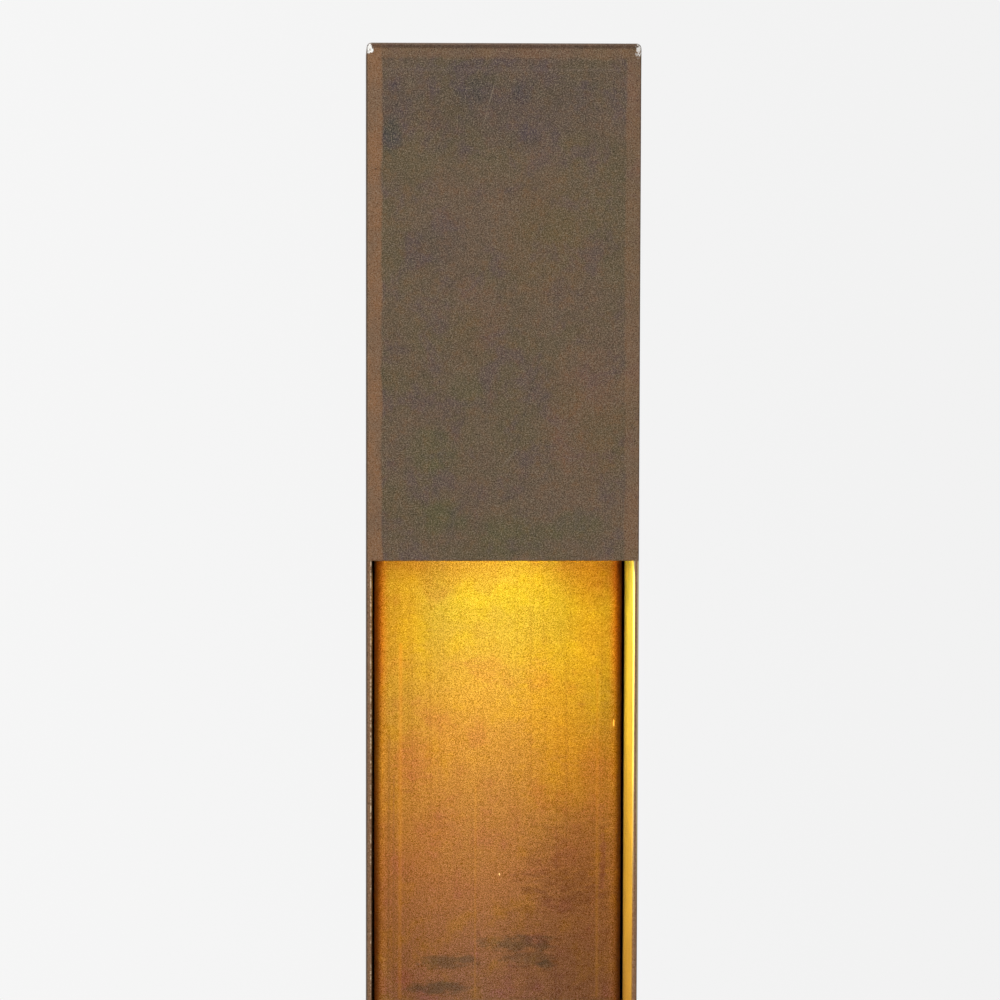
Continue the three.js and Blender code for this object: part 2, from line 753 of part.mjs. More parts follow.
// A saddle on the back wall. Its middle is an arch over the lead.
function leadClip(leadY) {
  const [z0, z1] = [465, 475];
  const [bore, arch] = [LAMP_LEAD.r + 0.4, LAMP_LEAD.r + 1.8];
  const strap = { half: 11, t: 1.5 };
  const feet = block(-strap.half, strap.half, FIT - strap.t, FIT, z0, z1);
  const saddle = join([feet, rodZ(0, leadY, arch, z0, z1)]);
  const behind = block(-HALF, HALF, FIT, HALF, z0 - OVER, z1 + OVER);
  const cuts = [behind, ...drillsZ([[0, leadY, bore]], z0, z1)];
  add("lead_clip", cut(saddle, cuts), steel);
}

function leadGrommet() {
  const bore = LAMP_LEAD.r + GAP;
  const neck = LEAD_HOLE.r - GAP;
  const rim = LEAD_HOLE.r + 2;
  const lip = 2;
  const profile = [
    [bore, CARRIER_Z - lip],
    [rim, CARRIER_Z - lip],
    [rim, CARRIER_Z - GAP],
    [neck, CARRIER_Z - GAP],
    [neck, CARRIER_TOP + GAP],
    [rim, CARRIER_TOP + GAP],
    [rim, CARRIER_TOP + lip],
    [bore, CARRIER_TOP + lip],
    [bore, CARRIER_Z - lip],
  ];
  add("lead_grommet", turned(profile, 0, LEAD_HOLE.y, SCREW_SIDES), rubber);
}

function lampConnector() {
  const { y, wide, half, top } = PLUG;
  const collar = { r: 5, t: 4 };
  const shell = block(-wide, wide, y - half, y + half, HOUSING_Z, top - collar.t);
  add("lamp_connector", join([shell, rodZ(0, y, collar.r, top - collar.t - 1, top)]), housing);
  add("board_lead", rodY(0, BOARD_LEAD.z, BOARD_LEAD.r, OPTIC_Y + LENS_R, y - half - GAP), lead);
}

columnChannel();
headFrontPlate();
topCap();
recessPanel();
accessCover();
panelBrackets();
baseSill();
footGasket();
basePlate();
baseLugs();
gearTray();
junctionBox();
terminalBlock();
supplyGland();
driver();
mainsLead();
earthBond();
lampCarrier();
headBrackets();
lens();
opticHousing();
reflector();
lightSource();
heatSink();
lampLead();
leadGrommet();
lampConnector();

export default part;
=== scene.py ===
"""Looks of the bollard light: fine meshes, materials, lamp, studio light, floor and camera.

Meshes are made in millimetres in the frame's own axes (front towards -Y, +Z up) and scaled to metres last.
"""

import itertools
import math

import bmesh
import bpy
from mathutils import Matrix, Vector


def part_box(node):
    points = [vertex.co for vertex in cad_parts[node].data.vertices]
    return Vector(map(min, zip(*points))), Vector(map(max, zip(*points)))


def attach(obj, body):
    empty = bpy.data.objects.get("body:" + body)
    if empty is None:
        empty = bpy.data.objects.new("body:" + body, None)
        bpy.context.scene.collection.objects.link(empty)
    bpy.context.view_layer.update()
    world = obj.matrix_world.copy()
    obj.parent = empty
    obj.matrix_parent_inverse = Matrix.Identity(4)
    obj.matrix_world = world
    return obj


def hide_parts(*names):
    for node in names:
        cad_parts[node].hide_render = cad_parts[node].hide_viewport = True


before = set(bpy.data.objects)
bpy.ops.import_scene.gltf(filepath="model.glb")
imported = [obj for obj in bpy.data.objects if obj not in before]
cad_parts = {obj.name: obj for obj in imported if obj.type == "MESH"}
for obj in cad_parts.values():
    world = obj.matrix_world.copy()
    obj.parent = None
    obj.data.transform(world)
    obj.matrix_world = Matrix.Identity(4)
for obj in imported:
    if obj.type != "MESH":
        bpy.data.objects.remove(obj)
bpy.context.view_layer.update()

MM = 0.001


def span(node):
    """Lowest and highest corners of a CAD node, in millimetres."""
    low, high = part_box(node)
    return low / MM, high / MM


# ---------------------------------------------------------------- sizes, from the frame

COLUMN_LOW, COLUMN_HIGH = span("column_channel")
HALF = COLUMN_HIGH.x
CAP_LOW, CAP_HIGH = span("top_cap")
TOP = CAP_HIGH.z
FOOT = COLUMN_LOW.z
LIP = span("head_front_plate")[0].z
SHEET = TOP - CAP_LOW.z
INSIDE = HALF - SHEET
PANEL_Y = span("recess_panel")[0].y
CARRIER_LOW, CARRIER_HIGH = span("lamp_carrier")
LENS_LOW, LENS_HIGH = span("lens_glass")
LENS_Y = (LENS_LOW.y + LENS_HIGH.y) / 2
LENS_R = LENS_HIGH.x
BEZEL_LOW, BEZEL_HIGH = span("lens_bezel")

EDGE_R = 1.8  # ground top edges and rear edges
FRONT_EDGE_R = 0.8
RECESS_EDGE_R = {-1: 0.4, 1: 0.9}  # inner front corners, left and right
LIP_R = 0.5
FOLD_R = 4
GAP = 0.3


# ---------------------------------------------------------------- camera

CAMERA_PLACE = (-0.055, -1.55, 0.75)
CAMERA_YAW = -0.03587
CAMERA_PITCH = -0.0775
CAMERA_ROLL = 0.0025
CAMERA_LENS = 147.9
SENSOR = 36


def add_camera():
    data = bpy.data.cameras.new("camera")
    data.sensor_width = SENSOR
    data.lens = CAMERA_LENS
    data.clip_start = 0.05
    data.clip_end = 50
    camera = bpy.data.objects.new("camera", data)
    turn = Matrix.Rotation(CAMERA_YAW, 3, "Z") @ Matrix.Rotation(math.pi / 2 + CAMERA_PITCH, 3, "X")
    turn = turn @ Matrix.Rotation(CAMERA_ROLL, 3, "Z")
    camera.matrix_world = Matrix.LocRotScale(Vector(CAMERA_PLACE), turn.to_quaternion(), None)
    bpy.context.scene.collection.objects.link(camera)
    bpy.context.scene.camera = camera


add_camera()


# ---------------------------------------------------------------- mesh helpers, in millimetres

PLACES = {
    "X": lambda a, b, c: (c, a, b),
    "Y": lambda a, b, c: (a, c, b),
    "Z": lambda a, b, c: (a, b, c),
}
ARC_STEPS = 10


def outline(corners):
    """Points of an outline with corners (a, b) or (a, b, radius), where a rounded corner is square."""
    points = []
    for i, corner in enumerate(corners):
        here = Vector(corner[:2])
        radius = corner[2] if len(corner) > 2 else 0
        if radius == 0:
            points.append(here)
            continue
        back = (Vector(corners[i - 1][:2]) - here).normalized()
        on = (Vector(corners[(i + 1) % len(corners)][:2]) - here).normalized()
        centre = here + radius * (back + on)
        for step in range(ARC_STEPS + 1):
            turn = math.pi / 2 * step / ARC_STEPS
            points.append(centre - radius * (math.cos(turn) * on + math.sin(turn) * back))
    return points


def rectangle(a0, a1, b0, b1, radius=0):
    return [(a0, b0, radius), (a1, b0, radius), (a1, b1, radius), (a0, b1, radius)]


def prism(corners, low, high, axis="Z"):
    """An outline's solid between two places along an axis."""
    points = outline(corners)
    mesh = bmesh.new()
    ends = [[mesh.verts.new(PLACES[axis](a, b, c)) for a, b in points] for c in (low, high)]
    for end in ends:
        mesh.faces.new(end)
    for i in range(len(points)):
        mesh.faces.new((ends[0][i - 1], ends[0][i], ends[1][i], ends[1][i - 1]))
    bmesh.ops.recalc_face_normals(mesh, faces=mesh.faces)
    return mesh


def turned(profile, centre=(0, 0), axis="Z", sides=64):
    """A profile of (radius, place along the axis) turned about the axis through the centre."""
    mesh = bmesh.new()
    rings = []
    for step in range(sides):
        turn = 2 * math.pi * step / sides
        across, along = math.cos(turn), math.sin(turn)
        ring = [(centre[0] + r * across, centre[1] + r * along, h) for r, h in profile]
        rings.append([mesh.verts.new(PLACES[axis](*point)) for point in ring])
    for i, ring in enumerate(rings):
        last = rings[i - 1]
        for k in range(len(profile) - 1):
            mesh.faces.new((last[k], ring[k], ring[k + 1], last[k + 1]))
    bmesh.ops.remove_doubles(mesh, verts=mesh.verts, dist=1e-4)
    bmesh.ops.recalc_face_normals(mesh, faces=mesh.faces)
    return mesh


def rod(radius, low, high, centre=(0, 0), axis="Z", sides=64):
    return turned([(0, low), (radius, low), (radius, high), (0, high)], centre, axis, sides)


def merged(meshes):
    """One mesh of several that don't touch."""
    whole = bmesh.new()
    for mesh in meshes:
        data = bpy.data.meshes.new("part")
        mesh.to_mesh(data)
        mesh.free()
        whole.from_mesh(data)
        bpy.data.meshes.remove(data)
    return whole


def stand_in(mesh):
    data = bpy.data.meshes.new("stand_in")
    mesh.to_mesh(data)
    mesh.free()
    made = bpy.data.objects.new("stand_in", data)
    bpy.context.scene.collection.objects.link(made)
    return made


def combined(blank, tools, operation):
    """The boolean of a mesh with others."""
    body = stand_in(blank)
    tool = stand_in(merged(tools))
    modifier = body.modifiers.new("boolean", "BOOLEAN")
    modifier.operation = operation
    modifier.solver = "EXACT"
    modifier.object = tool
    result = bmesh.new()
    result.from_object(body, bpy.context.evaluated_depsgraph_get())
    for used in (body, tool):
        data = used.data
        bpy.data.objects.remove(used)
        bpy.data.meshes.remove(data)
    return result


def cut(blank, tools):
    return combined(blank, tools, "DIFFERENCE")


def shown(name, mesh, nodes, finish, body="column"):
    """Scales a mesh to metres and makes it a piece that stands for its CAD nodes.

    A finish is a slot's name, which is not used, and its material.
    """
    slot, material = finish
    bmesh.ops.scale(mesh, vec=(MM, MM, MM), verts=mesh.verts)
    data = bpy.data.meshes.new(name)
    mesh.to_mesh(data)
    mesh.free()
    data.shade_smooth()
    data.materials.append(material)
    piece = bpy.data.objects.new(name, data)
    bpy.context.scene.collection.objects.link(piece)
    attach(piece, body)
    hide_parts(*nodes)
    return piece


def rounded(piece, width, segments, method):
    """Rounds a piece's edges, which are chosen by their angle or by their weight."""
    bevel = piece.modifiers.new("edges", "BEVEL")
    bevel.width = width * MM
    bevel.segments = segments
    bevel.limit_method = method
    bevel.harden_normals = True
    return bevel


def fine(node, mesh, finish, body="column", width=0.25, segments=3, angle=30):
    """A fine piece for one CAD node. Its edges that turn by more than the angle are rounded."""
    piece = shown(f"{node}_fine", mesh, [node], finish, body)
    rounded(piece, width, segments, "ANGLE").angle_limit = math.radians(angle)


def refined(node, finish, width):
    """The CAD node's own shape with its flat faces made whole and its edges rounded."""
    mesh = bmesh.new()
    mesh.from_mesh(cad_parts[node].data)
    bmesh.ops.scale(mesh, vec=(1 / MM,) * 3, verts=mesh.verts)
    bmesh.ops.remove_doubles(mesh, verts=mesh.verts, dist=1e-3)
    bmesh.ops.dissolve_limit(mesh, angle_limit=math.radians(1), verts=mesh.verts, edges=mesh.edges)
    fine(node, mesh, finish, width=width)


# ---------------------------------------------------------------- shader helpers


class Graph:
    """A node tree built from its inputs to its output, in millimetres in the frame's axes."""

    def __init__(self, name):
        self.name = name
        self.material = bpy.data.materials.new(name)
        self.material.use_nodes = True
        self.tree = self.material.node_tree
        self.tree.nodes.clear()
        self.coordinates = self.node("ShaderNodeTexCoord").outputs["Object"]
        self.place = self.vector("SCALE", self.coordinates, scale=1 / MM)
        split = self.node("ShaderNodeSeparateXYZ", {"Vector": self.place})
        self.x, self.y, self.z = split.outputs

    def node(self, kind, inputs=None, **settings):
        made = self.tree.nodes.new(kind)
        for name, value in settings.items():
            setattr(made, name, value)
        for name, value in (inputs or {}).items():
            self.feed(made.inputs[name], value)
        return made

    def feed(self, socket, value):
        if isinstance(value, bpy.types.NodeSocket):
            self.tree.links.new(value, socket)
        else:
            socket.default_value = value

    def vector(self, operation, a, b=(0, 0, 0), scale=1.0):
        made = self.node("ShaderNodeVectorMath", {0: a, 1: b, 3: scale}, operation=operation)
        return made.outputs["Vector"]

    def math(self, operation, a, b=0.0):
        return self.node("ShaderNodeMath", {0: a, 1: b}, operation=operation).outputs[0]

    def add(self, a, b):
        return self.math("ADD", a, b)

    def times(self, first, *others):
        """The product of two or more values."""
        for other in others:
            first = self.math("MULTIPLY", first, other)
        return first

    def rest(self, mask):
        """1 where a mask is 0, and 0 where it is 1."""
        return self.math("SUBTRACT", 1.0, mask)

    def fade(self, value, start, end, low=0.0, high=1.0):
        """Goes smoothly from low to high as the value goes from start to end."""
        inputs = {"Value": value, "From Min": start, "From Max": end, "To Min": low, "To Max": high}
        made = self.node("ShaderNodeMapRange", inputs, interpolation_type="SMOOTHSTEP")
        return made.outputs["Result"]

    def stretched(self, size, offset):
        """The place divided by one length or by one for each axis."""
        along = size if isinstance(size, tuple) else (size,) * 3
        scale = tuple(1 / length for length in along)
        scaled = self.vector("MULTIPLY", self.place, scale)
        return self.vector("ADD", scaled, (offset, offset, offset))

    def noise(self, size, detail=3.0, roughness=0.5, offset=0.0, warp=0.0):
        """Noise from 0 to 1 whose features measure about size, one length or one for each axis."""
        inputs = {
            "Vector": self.stretched(size, offset),
            "Scale": 1.0,
            "Detail": detail,
            "Roughness": roughness,
            "Distortion": warp,
        }
        return self.node("ShaderNodeTexNoise", inputs).outputs["Fac"]

    def wander(self, reach, size, **settings):
        """Noise about 0 that goes half a reach up and down."""
        return self.times(self.add(self.noise(size, **settings), -0.5), reach)

    def cells(self, size, offset):
        """A crystal pattern whose cells measure about size."""
        inputs = {"Vector": self.stretched(size, offset), "Scale": 1.0}
        return self.node("ShaderNodeTexVoronoi", inputs)

    def mix(self, share, a, b, blend="MIX"):
        made = self.node("ShaderNodeMix", data_type="RGBA", blend_type=blend)
        self.feed(made.inputs[0], share)
        self.feed(made.inputs[6], a)
        self.feed(made.inputs[7], b)
        return made.outputs[2]

    def ramp(self, place, stops):
        """A colour that goes through stops of (place, colour), lowest first."""
        low, high = stops[0][0], stops[-1][0]
        share = self.math("DIVIDE", self.add(place, -low), high - low)
        made = self.node("ShaderNodeValToRGB", {"Fac": share})
        bands = made.color_ramp.elements
        for i, (at, colour) in enumerate(stops):
            if i > 0 and i < len(stops) - 1:
                bands.new((at - low) / (high - low))
        for band, (at, colour) in zip(bands, stops):
            band.color = (*colour, 1)
        return made.outputs["Color"]

    def tint(self, base, share, colour):
        """The base colour multiplied by another where share is 1."""
        return self.mix(share, base, (*colour, 1), "MULTIPLY")

    def spot(self, x, z, wide, high, wobble):
        """A soft blot on the front, 1 in its middle, whose edge wanders with a noise."""
        across = self.math("DIVIDE", self.math("SUBTRACT", self.x, x), wide)
        up = self.math("DIVIDE", self.math("SUBTRACT", self.z, z), high)
        reach = self.add(self.times(across, across), self.times(up, up))
        return self.fade(self.add(reach, wobble), 1.0, 0.0)

    def stroke(self, start, end, width):
        """A line between two (x, z) points on the front, 1 along its middle."""
        run = (end[0] - start[0], end[1] - start[1])
        squared = run[0] ** 2 + run[1] ** 2
        across = self.math("SUBTRACT", self.x, start[0])
        up = self.math("SUBTRACT", self.z, start[1])
        reach = self.add(self.times(across, run[0] / squared), self.times(up, run[1] / squared))
        share = self.math("MAXIMUM", self.math("MINIMUM", reach, 1.0), 0.0)
        off_x = self.math("SUBTRACT", across, self.times(share, run[0]))
        off_z = self.math("SUBTRACT", up, self.times(share, run[1]))
        distance = self.math("SQRT", self.add(self.times(off_x, off_x), self.times(off_z, off_z)))
        return self.fade(distance, width, 0.0)

    def bump(self, height, distance, strength=1.0, normal=None):
        inputs = {"Height": height, "Distance": distance * MM, "Strength": strength}
        if normal is not None:
            inputs["Normal"] = normal
        return self.node("ShaderNodeBump", inputs).outputs["Normal"]

    def done(self, **sockets):
        """Ends the graph in a Principled shader with these sockets and gives the finish."""
        shader = self.node("ShaderNodeBsdfPrincipled")
        for name, value in sockets.items():
            self.feed(shader.inputs[name.replace("_", " ")], value)
        self.node("ShaderNodeOutputMaterial", {"Surface": shader.outputs[0]})
        return self.name, self.material


# ---------------------------------------------------------------- patinated brass

HEAD_BROWN = (0.158, 0.104, 0.066, 1)
HEAD_OLIVE = (0.140, 0.103, 0.054, 1)
HEAD_PURPLE = (0.134, 0.088, 0.077, 1)
WELD_BAND = (0.300, 0.145, 0.064, 1)
WELD_BAND_PALE = (0.235, 0.135, 0.075, 1)
CUT_EDGE = (0.285, 0.145, 0.070, 1)
BARE_BRASS = (0.62, 0.48, 0.31, 1)
# Pale colour of the painted highlight along the recess's right front edge.
EDGE_HIGHLIGHT = (0.72, 0.66, 0.38, 1)
BAND_SIDE = 5.2  # width of the ground bands beside the welds
BAND_TOP = 5.5


def front_only(g):
    """1 on the front face of the column."""
    return g.fade(g.y, -HALF + 1.2, -HALF + 0.2)


def outward(g):
    """How far outside the recess walls' inner faces a point lies."""
    return g.add(g.math("ABSOLUTE", g.x), -INSIDE)


def grain(g, size, offset=0.0):
    """The finest speckle of the patina."""
    return g.noise(size, detail=2.0, roughness=0.8, offset=offset, warp=0.6)


def speckled(g, colour, speckle, pale, deep):
    """Pale and dark specks over a colour."""
    colour = g.mix(g.fade(speckle, 0.5, 0.68, 0.0, pale[3]), colour, (*pale[:3], 1))
    return g.tint(colour, g.fade(speckle, 0.52, 0.34), deep)


def clouded(g):
    """Brown, olive and purple clouds."""
    clouds = g.noise(26, detail=5.0, roughness=0.6, offset=3.1)
    stains = g.noise(11, detail=5.0, roughness=0.65, offset=7.7, warp=0.4)
    colour = g.mix(g.fade(clouds, 0.36, 0.66), HEAD_BROWN, HEAD_OLIVE)
    colour = g.mix(g.fade(stains, 0.48, 0.66, 0.0, 0.8), colour, HEAD_PURPLE)
    flecks = g.noise(3.0, detail=3.0, roughness=0.6, offset=1.3)
    colour = g.tint(colour, g.fade(flecks, 0.5, 0.72), (0.84, 0.90, 0.92))
    return g.tint(colour, g.fade(flecks, 0.5, 0.3), (1.16, 1.02, 0.90))


def weathered(g, colour):
    """Broad stains and faint runs down the sides and the back."""
    away = g.rest(front_only(g))
    broad = g.noise((45, 45, 80), detail=4.0, roughness=0.55, offset=27.0)
    runs = g.noise((7, 7, 150), detail=3.0, roughness=0.6, offset=29.0)
    colour = g.tint(colour, g.times(away, g.fade(broad, 0.50, 0.68)), (0.76, 0.78, 0.82))
    colour = g.tint(colour, g.times(away, g.fade(broad, 0.48, 0.32)), (1.24, 1.12, 0.98))
    return g.tint(colour, g.times(away, g.fade(runs, 0.52, 0.72, 0.0, 0.7)), (0.80, 0.84, 0.86))


def marked(g, colour, blots, strokes, wobble, where=1.0):
    """A colour with blots, streaks and scratches where a mask is 1."""
    for x, z, wide, high, share, tone in blots:
        colour = g.tint(colour, g.times(g.spot(x, z, wide, high, wobble), where, share), tone)
    for start, end, width, share, tone in strokes:
        colour = g.mix(g.times(g.stroke(start, end, width), where, share), colour, (*tone, 1))
    return colour


BLUE_GREY = (0.72, 0.78, 1.02)
GREEN_GREY = (0.84, 1.02, 0.80)
TEAL = (0.68, 0.84, 0.94)
RED_BROWN = (1.20, 1.03, 0.98)
DUSK = (0.80, 0.82, 1.00)
GOLD_BROWN = (1.10, 1.05, 0.80)

# x, z, half width, half height, strength, tone
HEAD_BLOTS = [
    (0, 782, 56, 28, 0.9, DUSK),
    (-42, 776, 7, 20, 0.7, DUSK),
    (-12.5, 783, 9, 7, 0.8, BLUE_GREY),
    (6.5, 781.5, 5, 5, 0.8, BLUE_GREY),
    (9, 767, 8, 5, 0.5, BLUE_GREY),
    (-41, 765, 4, 10, 0.9, TEAL),
    (-25, 772, 12, 10, 0.5, GOLD_BROWN),
    (-26, 726, 14, 10, 0.5, BLUE_GREY),
    (16, 728, 22, 30, 0.6, GOLD_BROWN),
    (-10, 700, 14, 20, 0.5, RED_BROWN),
    (30, 664, 18, 36, 0.9, RED_BROWN),
    (-27, 651, 12, 10, 0.9, GREEN_GREY),
    (-13, 674, 10, 8, 0.7, GREEN_GREY),
    (-21, 627, 12, 8, 0.9, GREEN_GREY),
    (27, 624, 12, 7, 0.9, GREEN_GREY),
    (4, 620, 20, 9, 0.7, GREEN_GREY),
]

# start, end, half width, strength, colour
HEAD_STROKES = [
    ((-44, 790.3), (42, 790.3), 0.8, 0.30, (0.20, 0.145, 0.12)),
    ((-2.2, 789), (-5.4, 779), 0.35, 0.40, (0.30, 0.24, 0.17)),
    ((-3.8, 784), (-7.5, 771), 0.30, 0.50, (0.30, 0.24, 0.17)),
    ((-1.5, 714), (-4.5, 703), 0.30, 0.30, (0.30, 0.24, 0.17)),
    ((13.4, 686), (7.8, 665), 1.3, 0.32, (0.07, 0.06, 0.05)),
    ((7.8, 665), (4.3, 650), 1.0, 0.22, (0.07, 0.06, 0.05)),
    ((4.9, 652), (-0.6, 645.6), 0.35, 0.50, (0.28, 0.22, 0.16)),
]


def weld_bands(g, colour):
    """The ground and reheated bands along the head's welds."""
    wander = g.wander(3.0, (8, 8, 14), detail=4.0, offset=9.0)
    above_lip = g.fade(g.z, LIP - 0.5, LIP + 0.5)
    beside = g.add(g.math("ABSOLUTE", g.x), wander)
    side = g.fade(beside, HALF - BAND_SIDE - 0.8, HALF - BAND_SIDE + 0.4)
    left = g.fade(g.x, 1.0, -1.0)
    soft = g.add(g.times(left, 0.50), 0.45)
    side = g.times(side, front_only(g), above_lip, soft)
    top = g.fade(g.add(g.z, wander), TOP - BAND_TOP - 0.8, TOP - BAND_TOP + 0.8, 0.0, 0.45)
    tone = g.noise((10, 10, 16), detail=4.0, roughness=0.6, offset=12.0)
    band = g.mix(g.fade(tone, 0.35, 0.65), WELD_BAND, WELD_BAND_PALE)
    pits = g.fade(g.noise(1.6, detail=1.0, offset=21.0), 0.74, 0.80)
    band = g.tint(band, pits, (0.3, 0.25, 0.25))
    return g.mix(g.math("MAXIMUM", side, top), colour, band)


# Painted highlights: two near-white glints painted on the top front corners.
CORNER_GLINTS = [(-HALF + 0.9, 1.5, 1.0), (HALF - 1.1, 1.3, 0.7)]  # x, half width, strength


def shaded_rim_and_glints(g, colour):
    """The ground top edge of the front, painted darker as shade on its rounding, with two painted
    highlights at its corners.
    """
    # Painted shade: the rounded top edge of the front is painted darker.
    rim = g.times(g.fade(g.z, TOP - 2.4, TOP - 1.5), g.fade(g.y, -HALF + 2.5, -HALF + 1.5))
    colour = g.tint(colour, rim, (0.56, 0.54, 0.58))
    ragged = g.wander(5.0, 0.9, detail=2.0, offset=11.0)
    for x, wide, share in CORNER_GLINTS:
        glint = g.times(g.spot(x, TOP - 2.3, wide, 2.4, ragged), front_only(g), share)
        colour = g.mix(glint, colour, (0.95, 0.94, 0.90, 1))
    return colour


# height, colour of the painted lamp light on the recess walls
WALL_LAMP_LIGHT = [
    (443, (0.66, 0.45, 0.135)),
    (480, (0.54, 0.40, 0.112)),
    (530, (0.365, 0.30, 0.080)),
    (600, (0.42, 0.44, 0.085)),
]


def lit_walls(g, colour):
    """The recess walls are painted a brighter gold than the weathered outside, changing with height and
    depth as painted lamp light. Their cut edges are reddish.
    """
    below = g.fade(g.z, LIP + 0.5, LIP - 0.5)
    rims = g.fade(outward(g), -0.5, -0.2)
    colour = g.mix(g.times(below, rims, front_only(g)), colour, CUT_EDGE)
    wall = g.ramp(g.z, WALL_LAMP_LIGHT)
    # Painted shade: near the top the walls are toned down, most towards the panel and less towards the
    # front.
    high = g.fade(g.z, 520, 580)
    wall = g.tint(wall, g.times(high, g.fade(g.y, -9, -34)), (0.42, 0.45, 0.72))
    wall = g.tint(wall, g.times(high, g.fade(g.y, -31, -42)), (0.66, 0.60, 0.85))
    inside = g.times(g.fade(outward(g), 0.4, 0.1), g.fade(g.z, LIP + 20, LIP))
    deep = g.times(g.fade(g.y, -HALF + 0.2, -HALF + 0.8), g.fade(g.y, PANEL_Y + 6, PANEL_Y + 2))
    return g.mix(g.times(inside, deep), colour, wall)


def edge_chips_shade_and_highlight(g, colour):
    """The recess's front corners: on the left a painted shade along the corner with bare chips beside it,
    on the right a painted highlight of the lamp's light along the rounded edge.
    """
    below = g.fade(g.z, LIP + 0.3, LIP - 0.3)
    out = outward(g)
    left = g.times(below, g.fade(g.x, 0, -1), g.fade(g.y, -HALF + 1.0, -HALF + 0.5))
    right = g.times(below, g.fade(g.x, 0, 1), g.fade(g.z, 470, 540))
    corner = g.times(g.fade(out, -0.6, -0.3), g.fade(out, 0.38, 0.26))
    # Painted shade along the left front corner of the recess.
    colour = g.tint(colour, g.times(left, corner), (0.10, 0.06, 0.04))
    chips = g.noise((1.5, 1.5, 1.1), detail=3.0, roughness=0.7, offset=31.0)
    chips = g.add(chips, g.fade(g.z, 450, 600, -0.06, 0.05))
    beside = g.times(g.fade(out, 0.24, 0.34), g.fade(out, 0.85, 0.65))
    colour = g.mix(g.times(left, beside, g.fade(chips, 0.50, 0.60)), colour, BARE_BRASS)
    # Painted highlight: the right corner's rounding, lit by the lamp, is painted pale.
    lit_edge = g.times(g.fade(g.y, -HALF + 0.02, -HALF + 0.14), g.fade(g.y, -HALF + 1.4, -HALF + 0.8))
    lit_edge = g.times(lit_edge, g.fade(out, -0.6, -0.3, 0.0, 0.8))
    return g.mix(g.times(right, lit_edge), colour, EDGE_HIGHLIGHT)


def relief(g, speckle, strength):
    """Bump of the pitted patina."""
    dents = g.noise(1.5, detail=3.0, roughness=0.6, offset=15.0)
    coarse = g.bump(dents, 0.12, 0.6 * strength)
    return g.bump(speckle, 0.16, strength, coarse)


def patina_brass():
    g = Graph("patina_brass")
    speckle = grain(g, 0.42)
    wobble = g.wander(1.6, 6, detail=4.0, offset=5.0)
    colour = weathered(g, clouded(g))
    colour = marked(g, colour, HEAD_BLOTS, HEAD_STROKES, wobble, front_only(g))
    colour = weld_bands(g, colour)
    colour = lit_walls(g, colour)
    colour = speckled(g, colour, speckle, (0.32, 0.25, 0.17, 0.85), (0.36, 0.34, 0.34))
    colour = shaded_rim_and_glints(g, colour)
    colour = edge_chips_shade_and_highlight(g, colour)
    haze = g.noise(14, detail=4.0, offset=18.0)
    roughness = g.add(g.fade(haze, 0.3, 0.7, 0.46, 0.58), g.times(g.add(speckle, -0.5), 0.2))
    normal = relief(g, speckle, 0.55)
    return g.done(Base_Color=colour, Metallic=0.75, Roughness=roughness, Normal=normal)


# height, colour: greener and brighter near the lamp, partly as painted lamp light, darker just under the
# lip as painted shade, redder lower down and brown at the foot
PANEL_TONES_AND_LIGHT = [
    (330, (0.150, 0.097, 0.056)),
    (443, (0.138, 0.066, 0.032)),
    (490, (0.172, 0.080, 0.026)),
    (533, (0.180, 0.103, 0.018)),
    (568, (0.166, 0.126, 0.015)),
    (592, (0.172, 0.158, 0.017)),
    (606, (0.128, 0.090, 0.012)),
]

# Painted shade and light on the panel's folds: darker and redder higher up, lighter lower down.
FOLD_SHADE_RED = (1.15, 0.50, 0.34)
FOLD_LIGHT_BROWN = (1.36, 1.34, 0.90)
PLUM = (0.96, 0.80, 1.30)
YELLOW = (1.10, 1.15, 0.50)
SMOKE = (0.52, 0.64, 0.72)
UMBER = (0.78, 0.72, 0.72)

# x, z, half width, half height, strength, tone
PANEL_BLOTS = [
    (7, 460.5, 18, 3.8, 0.9, SMOKE),
    (12, 454.5, 13, 3.4, 0.7, SMOKE),
    (-18, 453.5, 15, 3.4, 0.9, SMOKE),
    (19, 452, 4, 2.4, 0.9, SMOKE),
    (-23, 443.5, 13, 3.4, 1.0, SMOKE),
    (-36, 447.5, 4, 5, 0.6, (1.1, 0.8, 0.9)),
    (30, 492, 26, 24, 1.0, UMBER),
    (28, 462, 30, 34, 0.9, UMBER),
    (40, 493, 1.6, 16, 0.9, (0.86, 0.72, 1.3)),
    (-44, 444, 6, 14, 0.8, (1.25, 1.45, 1.10)),
    (-5, 566, 9, 6, 0.7, PLUM),
    (-32, 530, 9, 16, 0.8, PLUM),
    (36, 528, 6, 14, 0.6, PLUM),
    (-20, 505, 12, 10, 0.5, PLUM),
    (25, 552, 20, 28, 0.9, YELLOW),
    (-32, 580, 9, 9, 0.8, YELLOW),
    (-12, 588, 10, 8, 0.5, YELLOW),
    (24, 520, 16, 12, 0.6, YELLOW),
]

# start, end, half width, strength, colour
PANEL_STROKES = [
    ((-37, 575), (-37.3, 440), 1.2, 0.30, (0.30, 0.15, 0.025)),
    ((-41.3, 540), (-41.8, 440), 0.8, 0.35, (0.08, 0.035, 0.012)),
    ((-39.6, 525), (-39.7, 440), 0.7, 0.35, (0.10, 0.04, 0.03)),
    ((37.6, 565), (37.8, 440), 1.0, 0.25, (0.26, 0.14, 0.025)),
    ((-8.5, 520), (-8.6, 440), 0.7, 0.25, (0.26, 0.14, 0.025)),
    ((43.9, 546), (43.9, 544), 0.4, 0.9, (0.8, 0.6, 0.4)),
    ((0.6, 487.3), (0.6, 486.9), 0.4, 0.9, (0.8, 0.6, 0.4)),
]


